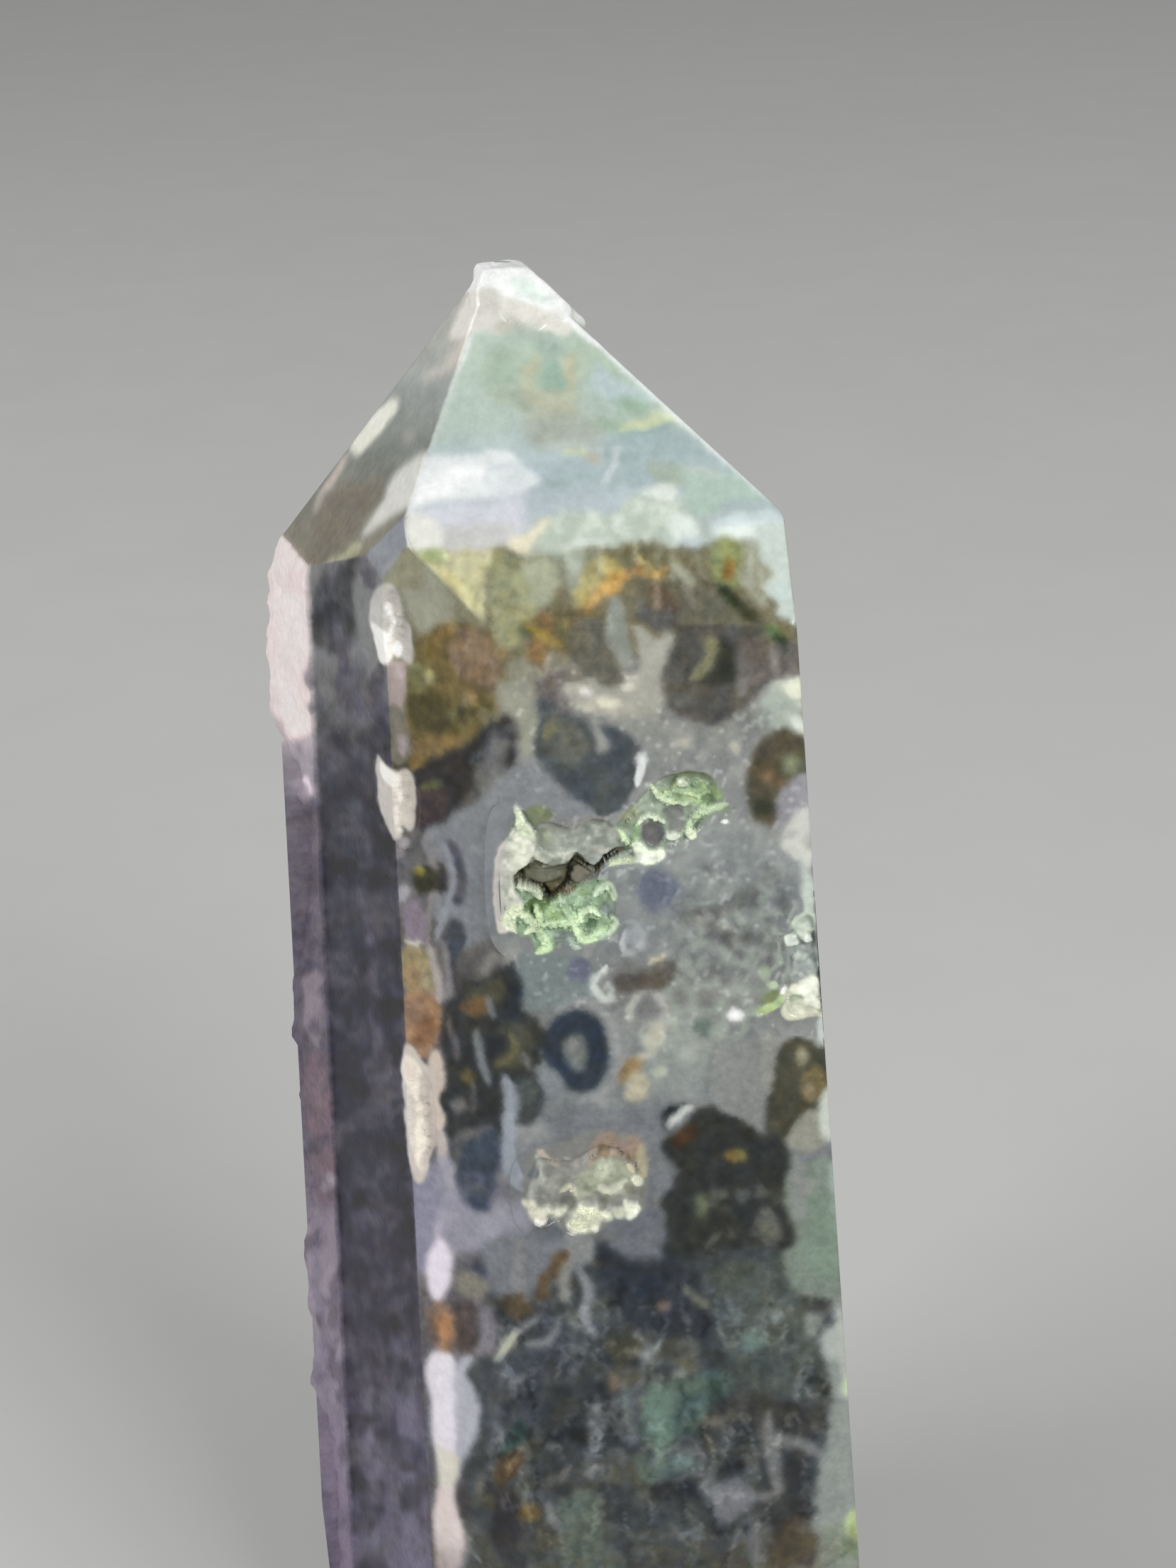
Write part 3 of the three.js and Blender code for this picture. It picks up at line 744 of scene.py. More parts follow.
FRONT_FACET_MARKS = [
    patch((190,205,193), (650,470, 730,476, 736,560, 700,604, 640,622, 606,620), 34, strength=0.7),
    spot((166,184,162), (708,524), (30,36), 30, strength=0.6),
    spot((176,186,166), (730,560), (34,14), 18, strength=0.7),
    spot((156,180,162), (780,534), (15,26), 14),
    spot((168,186,172), (778,490), (18,16), 14),
    stroke((194,192,162), 16, (758,504, 748,528, 744,560), 14, 1.2, 0.8),
    stroke((198,192,162), 14, (806,504, 804,530, 800,556), 14, 1.2, 0.8),
    patch((188,188,164), (735,558, 800,552, 816,574, 790,592, 760,590, 728,576), 20, strength=0.8),
    patch((170,174,160), (748,590, 820,582, 850,600, 832,632, 772,634, 746,615), 24, strength=0.8),
    stroke((150,166,154), 9, (718,566, 738,572, 758,580), 12, 1.2, 0.7),
    patch((188,204,206), (836,512, 862,530, 922,562, 900,576, 860,568, 834,548), 20),
    spot((158,182,158), (894,575), (24,12), 16, 0.3),
    spot((162,182,158), (866,600), (28,10), 16, 0.1),
    patch((168,184,184), (858,622, 940,604, 985,620, 962,652, 910,656, 890,700, 800,704, 750,694, 780,668, 850,660),
        24),
    stroke((206,214,176), 13, (876,608, 905,600, 930,592, 962,582), 8, 0.8),
    spot((214,224,190), (944,586), (17,8), 8, 0.3),
    stroke((148,170,166), 7, (872,617, 905,612, 935,603, 952,598), 7, 0.5),
    spot((188,198,192), (796,632), (22,8), 12),
    stroke((202,212,180), 8, (796,642, 812,644, 826,640), 7),
    spot((190,188,174), (834,646), (12,8), 8),
    stroke((208,216,216), 9, (874,628, 868,642, 864,658, 856,674, 846,678), 5, 0.3),
    patch((170,183,168), (912,660, 960,655, 976,670, 960,690, 930,686, 912,678), 14),
    patch((180,200,188), (975,662, 1040,666, 1080,702, 1030,704, 1010,722, 970,736, 960,716, 966,690), 20),
    spot((194,206,200), (996,666), (22,8), 10, 0.2),
    # Painted reflection: the white patches low on the left of the front facet are a bright window mirrored in the
    # polish.
    patch((232,237,236), (590,654, 612,645, 660,640, 714,636, 728,652, 748,668, 758,686, 738,698, 700,702, 650,706,
        592,714, 574,730, 572,706, 582,678), 12, 0.7),
    patch((250,252,251), (600,674, 640,656, 682,660, 694,676, 650,684, 624,700, 588,704), 18, 0.7),
    patch((220,227,228), (694,652, 722,652, 754,682, 728,696, 700,696, 684,680), 12, strength=0.8),
    patch((212,215,222), (590,714, 660,706, 738,700, 742,734, 716,766, 640,780, 606,760, 596,735), 22),
    patch((206,206,204), (630,745, 716,736, 716,770, 660,782, 625,772), 18),
    patch((234,234,226), (566,732, 592,722, 620,736, 628,765, 600,776, 576,778), 14, 0.6),
    patch((184,196,200), (740,702, 840,690, 900,700, 862,722, 800,730, 756,738), 18),
    patch((190,202,188), (745,744, 790,734, 860,722, 900,702, 944,684, 956,692, 950,706, 966,722, 962,748, 988,766,
        960,772, 925,764, 880,766, 850,782, 830,774, 800,780, 770,778), 10, 1.4),
    blotches((212,222,208), 15, 0.3, (790,722, 940,694, 970,740, 970,776, 800,780), 5),
    patch((228,236,226), (905,698, 944,682, 954,692, 948,706, 930,704), 8, 0.8),
    patch((224,234,226), (950,722, 968,730, 986,754, 976,770, 954,762, 944,744), 8, 0.8),
    stroke((222,232,222), 11, (800,768, 816,762, 834,772, 850,778), 6, 1.4),
    stroke((224,234,224), 8, (866,738, 882,730), 5),
    spot((198,212,214), (978,770), (22,10), 8),
    patch((208,222,222), (1000,740, 1040,722, 1094,720, 1110,736, 1112,760, 1070,762, 1035,748, 1010,762), 12),
    patch((232,242,236), (1004,754, 1040,740, 1092,742, 1102,754, 1060,758, 1030,764, 1010,768), 9),
    patch((200,198,160), (580,790, 604,776, 650,774, 700,778, 722,796, 706,832, 694,880, 640,836, 604,806), 14),
    spot((166,178,128), (608,784), (20,10), 12),
    spot((208,202,154), (640,824), (30,16), 18, 0.7),
    spot((206,202,156), (672,846), (22,14), 16, 0.7),
    spot((148,150,112), (700,850), (14,34), 18, 0.2),
    patch((236,230,204), (716,758, 740,752, 762,738, 782,734, 762,752, 748,768, 736,788, 730,802, 722,796, 718,776),
        8, 0.6),
    # Painted highlights: bright lines along the front facet's left edge and along its right edge.
    stroke((228,234,230), 8, (666,467, 649,512, 627,565, 604,640), 7, 0.2),
    stroke((240,247,243), 9, (806,452, 852,493, 900,536, 950,581, 1000,626, 1050,671, 1098,714), 6, 0.2),
]

LEFT_FACET_MARKS = [
    patch((206,206,200), (604,640, 588,690, 572,716, 516,752, 512,744, 540,700, 566,660), 12, 0.5),
    # Painted highlight: the soft white stripe on the narrow sliver at the left facet's edge.
    patch((228,228,214), (556,562, 562,582, 540,606, 516,636, 500,642, 496,622, 520,590), 8, 0.5),
    stroke((188,176,166), 12, (490,640, 476,668, 460,694, 446,722), 9),
    patch((124,116,102), (470,690, 540,680, 520,720, 500,750, 464,780, 440,790, 444,740), 20),
    stroke((172,170,140), 14, (462,796, 486,786, 506,766), 7, 0.4),
    spot((158,154,146), (578,616), (9,12), 8),
    patch((196,192,184), (660,440, 690,430, 690,466, 664,500, 630,520, 600,540, 640,480), 20),
]

LEFT_FACE_MARKS = [
    patch((78,78,78), (440,840, 466,806, 496,790, 500,850, 492,900, 444,910), 14),
    patch((128,126,124), (502,800, 534,826, 532,930, 520,960, 504,900), 18, 0.4),
    stroke((96,90,98), 14, (474,880, 482,930, 480,990), 10, 0.4),
    stroke((112,102,114), 10, (504,964, 508,1000, 506,1024), 7, 0.4),
    patch((168,152,144), (519,1036, 532,1034, 540,1060, 538,1066, 524,1052), 6, 0.4),
    stroke((100,90,100), 13, (504,1080, 514,1130, 520,1200), 10, 0.4),
    patch((92,86,88), (520,960, 540,940, 542,1040, 524,1030), 12, 0.4),
    stroke((92,84,98), 16, (520,1300, 528,1400, 532,1500), 14, 0.4),
    stroke((112,102,128), 30, (560,1900, 576,2000, 584,2212, 590,2330), 18, 0.4),
    stroke((104,94,118), 26, (520,1960, 530,2080, 540,2212, 548,2330), 18, 0.4),
    blotches((92,86,96), 34, 0.3, (450,900, 540,900, 600,2212, 500,2212), 11, strength=0.6),
    blotches((58,56,62), 40, 0.3, (450,900, 540,900, 600,2212, 500,2212), 12, strength=0.6),
]

RAW_SIDE_MARKS = [
    patch((238,214,211), (392,760, 424,762, 430,860, 436,960, 436,1030, 404,1030, 390,920), 12, 0.6),
    spot((226,202,204), (424,824), (22,16), 12),
    patch((166,150,158), (420,1046, 444,1070, 448,1130, 430,1140, 418,1110, 422,1080), 8),
    spot((240,214,230), (432,1112), (11,16), 7),
    patch((126,112,122), (436,1140, 452,1140, 456,1260, 440,1260), 9),
    spot((150,136,146), (440,1278), (10,12), 8),
    patch((140,124,134), (426,1384, 450,1380, 458,1440, 450,1476, 432,1460), 9),
    patch((122,98,107), (430,1500, 470,1490, 484,1560, 482,1690, 452,1690, 436,1600), 12),
    spot((160,142,152), (464,1668), (12,14), 9),
    stroke((132,118,136), 12, (446,1720, 452,1840, 456,1960), 9),
    stroke((128,112,130), 10, (476,1740, 482,1860, 486,1990), 9),
    stroke((136,118,140), 16, (470,2000, 480,2110, 490,2212, 496,2330), 12),
    blotches((90,80,92), 24, 0.3, (420,1080, 470,1080, 520,2300, 440,2300), 14, strength=0.6),
    blotches((232,214,216), 20, 0.25, (384,770, 440,770, 440,1050, 384,1050), 15, strength=0.7),
]

BEVEL_MARKS = [
    patch((150,147,128), (566,790, 600,800, 640,850, 610,900, 580,880, 560,830), 18, 0.5),
    patch((138,134,110), (570,770, 600,800, 590,830, 556,820), 10, 0.5),
    patch((108,94,60), (574,930, 600,896, 636,876, 690,888, 706,906, 716,950, 704,1000, 660,1040, 620,1062,
        586,1086, 572,1060, 566,1000), 12),
    patch((126,106,84), (640,890, 680,886, 702,910, 712,948, 690,976, 656,960, 636,930), 14),
    stroke((142,116,72), 13, (612,908, 624,896, 640,886), 8),
    stroke((118,100,62), 16, (602,930, 622,910, 640,900), 10),
    spot((152,144,100), (606,952), (11,12), 7),
    spot((112,108,74), (584,960), (16,26), 12),
    spot((158,124,82), (661,988), (11,8), 7),
    patch((84,76,50), (572,980, 610,970, 650,1000, 690,990, 700,1010, 640,1030, 590,1030), 16),
    patch((126,104,66), (578,1056, 600,1044, 640,1036, 650,1048, 616,1066, 586,1084), 10),
    blotches((120,112,84), 14, 0.22, (640,990, 700,990, 716,1030, 690,1060, 640,1060), 21),
    patch((60,55,51), (586,1086, 622,1070, 660,1048, 700,1018, 713,1004, 724,1022, 733,1050, 728,1076, 700,1104,
        664,1118, 640,1146, 610,1172, 592,1176, 588,1130), 8),
    patch((70,60,58), (586,1110, 620,1110, 636,1130, 612,1166, 590,1170), 12),
    spot((96,96,66), (612,1108), (16,7), 7),
    stroke((92,94,90), 7, (660,1076, 676,1064, 700,1052), 6),
    patch((130,130,131), (596,1180, 640,1150, 700,1120, 720,1180, 700,1300, 650,1340, 612,1290, 604,1230), 16),
    patch((84,82,88), (636,1184, 652,1206, 661,1240, 657,1264, 644,1278, 636,1268, 645,1246, 640,1212, 628,1190), 7,
        0.4),
    stroke((146,146,150), 9, (626,1186, 636,1212, 640,1244, 630,1280, 620,1312, 618,1332), 6, 0.4),
    patch((62,58,56), (612,1214, 626,1222, 634,1246, 624,1262, 612,1250), 7, 0.5),
    stroke((136,128,124), 9, (604,1180, 612,1216, 608,1262, 604,1310, 606,1340), 6, 0.5),
    patch((66,66,72), (634,1300, 648,1306, 656,1328, 648,1350, 634,1350, 626,1328), 7, 0.5),
    patch((64,60,44), (578,1226, 600,1218, 612,1238, 606,1266, 588,1264, 580,1244), 7),
    spot((136,124,58), (587,1228), (10,7), 5),
    spot((160,154,158), (568,1260), (11,11), 5, ragged=0.3),
    patch((128,116,124), (566,1276, 590,1270, 600,1300, 598,1330, 570,1322), 9),
    stroke((216,216,206), 8, (572,1326, 584,1333, 596,1326), 4, 0.3),
    patch((146,132,102), (566,1344, 600,1336, 612,1370, 606,1404, 572,1400, 562,1370), 10),
    stroke((168,158,152), 12, (608,1336, 614,1370, 620,1400, 612,1420), 7, 0.5),
    stroke((136,130,130), 10, (626,1330, 632,1380, 632,1440, 638,1500), 9, 0.5),
    patch((168,152,146), (540,936, 570,932, 572,950, 568,1000, 546,998, 541,966), 8, 0.5),
    patch((118,110,96), (544,1000, 570,1000, 576,1040, 578,1066, 560,1078, 545,1050), 9, 0.5),
    spot((156,144,142), (566,1050), (6,14), 5),
    spot((146,138,138), (568,1188), (9,8), 5, ragged=0.3),
    spot((140,132,132), (560,1202), (9,7), 5, ragged=0.3),
    patch((148,118,94), (568,1404, 592,1396, 612,1402, 622,1436, 620,1470, 604,1492, 590,1488, 574,1472, 566,1440),
        8, 0.5),
    spot((132,98,68), (600,1456), (16,22), 12),
    spot((150,128,98), (582,1378), (14,18), 12),
    patch((200,186,174), (604,1500, 620,1480, 626,1520, 630,1560, 626,1586, 616,1600, 610,1560), 7, 0.5),
    patch((188,178,172), (612,1600, 628,1600, 636,1640, 648,1640, 650,1680, 640,1686, 624,1650), 9, 0.5),
    patch((138,134,148), (584,1672, 612,1640, 624,1700, 616,1770, 590,1790, 576,1760), 14, 0.5),
    patch((182,174,186), (628,1680, 648,1690, 650,1740, 636,1790, 618,1800, 612,1740), 12, 0.5),
    patch((226,218,228), (604,1766, 622,1744, 634,1750, 636,1800, 624,1836, 608,1832, 602,1800), 9, 0.4),
    patch((84,72,66), (640,1850, 676,1838, 684,1880, 660,1906, 640,1890), 14),
    patch((134,106,84), (604,1846, 632,1846, 640,1880, 632,1906, 610,1906, 602,1880), 12),
    spot((176,128,88), (624,1872), (11,18), 9),
    stroke((120,110,108), 20, (684,1830, 688,1870, 690,1910), 14),
    patch((224,218,226), (604,1912, 640,1914, 646,1960, 644,2030, 640,2090, 626,2090, 616,2050, 606,1990), 10, 0.4),
    patch((176,176,184), (642,1930, 676,1914, 680,1970, 672,2030, 650,2080, 642,2060), 12, 0.5),
    patch((212,208,196), (614,2040, 646,2060, 642,2100, 622,2110), 10, 0.5),
    patch((216,203,200), (616,2100, 640,2100, 650,2140, 664,2170, 678,2212, 690,2330, 622,2330, 614,2212, 612,2150),
        10, 0.4),
    patch((168,158,146), (656,2140, 676,2170, 690,2212, 704,2330, 684,2330, 668,2212), 12, 0.5),
    patch((74,66,62), (648,2110, 680,2060, 716,2090, 726,2212, 740,2330, 712,2330, 680,2190, 660,2150), 16),
    spot((150,130,116), (680,2096), (14,14), 10),
    patch((150,148,152), (640,1700, 700,1690, 722,1706, 726,1756, 690,1764, 640,1752), 18),
    patch((72,74,86), (654,1616, 684,1600, 704,1604, 712,1640, 700,1680, 684,1704, 664,1706, 652,1670), 16),
    patch((104,100,100), (640,1770, 700,1766, 712,1800, 700,1840, 650,1830), 18),
    patch((128,122,108), (640,1808, 660,1800, 690,1810, 676,1830, 644,1832), 12),
    spot((68,66,74), (686,1790), (18,14), 14),
]

CHIP_MARKS = [
    patch((186,182,175), (528,830, 550,822, 560,832, 568,864, 578,888, 582,920, 578,936, 566,928, 552,918, 546,934,
        538,932, 526,900, 520,870), 6, 0.4),
    patch((232,228,221), (524,878, 546,894, 556,904, 553,926, 546,936, 532,932, 528,904), 5, 0.3),
    spot((244,241,236), (560,916), (7,12), 5, ragged=0.3),
    # Painted highlight: a crisp white streak on the first chip.
    stroke((246,244,240), 7, (546,842, 552,866, 550,892), 5, 1.2),
    patch((194,187,177), (530,1064, 548,1080, 560,1086, 576,1084, 586,1100, 588,1136, 586,1162, 578,1172, 572,1166,
        566,1160, 564,1176, 556,1182, 548,1168, 536,1136, 533,1100), 6, 0.4),
    # Painted highlight: a crisp white streak on the second chip.
    stroke((238,232,224), 7, (562,1112, 566,1136, 560,1164), 5, 1.2),
    patch((238,232,222), (536,1072, 554,1088, 566,1094, 566,1110, 556,1112, 540,1096), 5, 0.3),
    patch((200,192,182), (572,1478, 584,1476, 600,1500, 612,1512, 614,1560, 612,1610, 606,1640, 598,1664, 586,1670,
        578,1650, 572,1600, 570,1540), 7, 0.4),
    # Painted highlight: a bright streak on the third chip.
    stroke((234,226,212), 12, (584,1496, 592,1560, 590,1640), 8, 1.2),
    stroke((190,180,172), 9, (606,1530, 608,1580, 600,1640), 8, 1.2),
    spot((226,214,200), (578,1510), (8,18), 8),
]

# Pale and dark splinters that hang from the front facet's cloudy border: place, lean, length and colour
SPLINTERS = (
    (742, 770, 2, 44, (186,188,162)), (756, 776, 3, 30, (170,176,146)), (770, 778, 4, 52, (178,182,158)),
    (786, 776, 3, 26, (116,116,84)), (797, 776, 5, 44, (186,192,174)), (814, 778, 6, 34, (168,172,150)),
    (828, 776, 5, 40, (120,114,80)), (842, 778, 6, 30, (176,178,156)), (858, 774, 6, 24, (112,106,74)),
    (876, 768, 7, 34, (128,128,100)), (892, 766, 8, 28, (182,182,154)), (908, 766, 8, 40, (108,104,78)),
    (926, 768, 9, 30, (160,160,132)), (946, 774, 9, 44, (172,174,152)), (962, 772, 9, 28, (110,106,78)),
    (980, 776, 8, 40, (156,158,134)), (996, 772, 7, 26, (122,124,90)), (1052, 764, 12, 52, (190,196,178)),
    (1062, 768, 14, 60, (142,140,112)), (1042, 764, 9, 36, (158,162,132)),
)

# The mossy layer that crosses from the front facet to the faces below it
BAND_MARKS = [
    patch((122,114,88), (690,786, 760,782, 860,776, 950,778, 1010,768, 1060,776, 1080,830, 1106,880, 1128,906,
        1122,946, 1080,940, 1000,930, 890,940, 800,966, 700,968), 11),
    patch((152,150,112), (690,786, 736,790, 752,830, 748,890, 712,910, 694,870), 26),
    patch((172,174,146), (738,788, 776,788, 784,820, 770,850, 744,846, 736,814), 22),
    patch((158,162,142), (782,780, 830,776, 836,806, 812,836, 796,830, 786,806), 18),
    stroke((182,190,176), 16, (800,784, 808,800, 820,816), 14),
    patch((172,160,108), (828,790, 862,786, 880,802, 862,828, 836,840, 812,852, 810,838), 16),
    patch((112,104,74), (866,776, 910,770, 950,776, 960,800, 926,806, 898,794, 878,802), 14),
    patch((104,100,82), (896,828, 930,812, 1000,816, 1036,846, 1080,880, 1070,910, 960,896, 900,872), 22),
    patch((100,84,64), (918,826, 944,832, 956,862, 930,870, 914,852), 16),
    patch((96,92,84), (900,860, 950,860, 948,884, 912,886), 16),
    patch((182,150,96), (800,868, 812,852, 836,840, 852,822, 872,810, 884,816, 870,836, 846,850, 826,868), 12),
    spot((198,158,88), (862,822), (16,11), 12, -0.8),
    spot((168,122,78), (806,865), (9,6), 8),
    stroke((168,132,80), 13, (880,820, 902,808, 922,810, 940,800), 12),
    stroke((204,186,126), 9, (898,790, 912,796, 918,806, 930,812), 8),
    stroke((176,176,152), 12, (948,792, 962,806, 976,826), 12),
    stroke((138,130,112), 10, (966,822, 974,842, 978,858), 12),
    stroke((140,122,100), 9, (924,816, 928,834, 926,856), 9),
    patch((138,142,94), (1000,778, 1016,762, 1036,766, 1052,796, 1050,820, 1022,826, 1002,810), 14),
    spot((150,112,52), (1030,806), (10,13), 10),
    patch((58,64,42), (1012,826, 1030,826, 1042,842, 1048,858, 1034,858, 1020,846), 10),
    spot((70,68,46), (1052,870), (14,9), 9, 0.6),
    stroke((170,170,148), 14, (1048,806, 1060,826, 1074,852), 11),
    stroke((192,190,170), 13, (1056,776, 1068,800, 1078,828), 11),
    patch((206,218,210), (1062,750, 1112,740, 1120,780, 1128,830, 1130,876, 1106,876, 1088,862, 1092,842, 1078,826,
        1090,812, 1080,794, 1068,778), 10),
    spot((206,220,216), (1096,836), (16,9), 10),
    patch((116,102,72), (760,862, 840,856, 858,900, 848,940, 780,940, 750,900), 26),
    blotches((98,104,72), 15, 0.3, (740,870, 850,880, 850,950, 740,960), 33, 24, 0.8),
    blotches((140,104,66), 20, 0.24, (700,860, 850,860, 850,940, 700,940), 34, 26, 0.7),
    stroke((150,128,68), 12, (740,880, 768,900, 790,908), 14),
    patch((106,101,86), (800,890, 846,876, 862,900, 868,936, 888,934, 899,918, 900,932, 886,952, 860,964, 832,962,
        812,948), 12, 0.6),
    patch((142,144,132), (858,844, 876,848, 886,880, 892,920, 884,938, 870,936, 862,905), 9, 0.6),
    stroke((182,182,172), 5, (860,862, 862,880, 864,898), 5, 0.4),
    stroke((136,130,120), 5, (806,934, 814,948, 828,960), 5, 0.4),
    stroke((132,126,118), 5, (866,938, 880,950, 890,952), 5, 0.4),
    stroke((176,176,158), 8, (772,920, 772,938, 768,954), 7),
    *(stroke(colour, 6, (x, y, x + lean / 2, y + length / 2, x + lean, y + length), 5, 1.0, 0.75)
      for x, y, lean, length, colour in SPLINTERS),
    patch((132,108,92), (690,892, 706,900, 712,940, 706,984, 694,960), 12),
    patch((142,138,118), (712,940, 744,934, 766,960, 752,990, 728,976), 14),
]

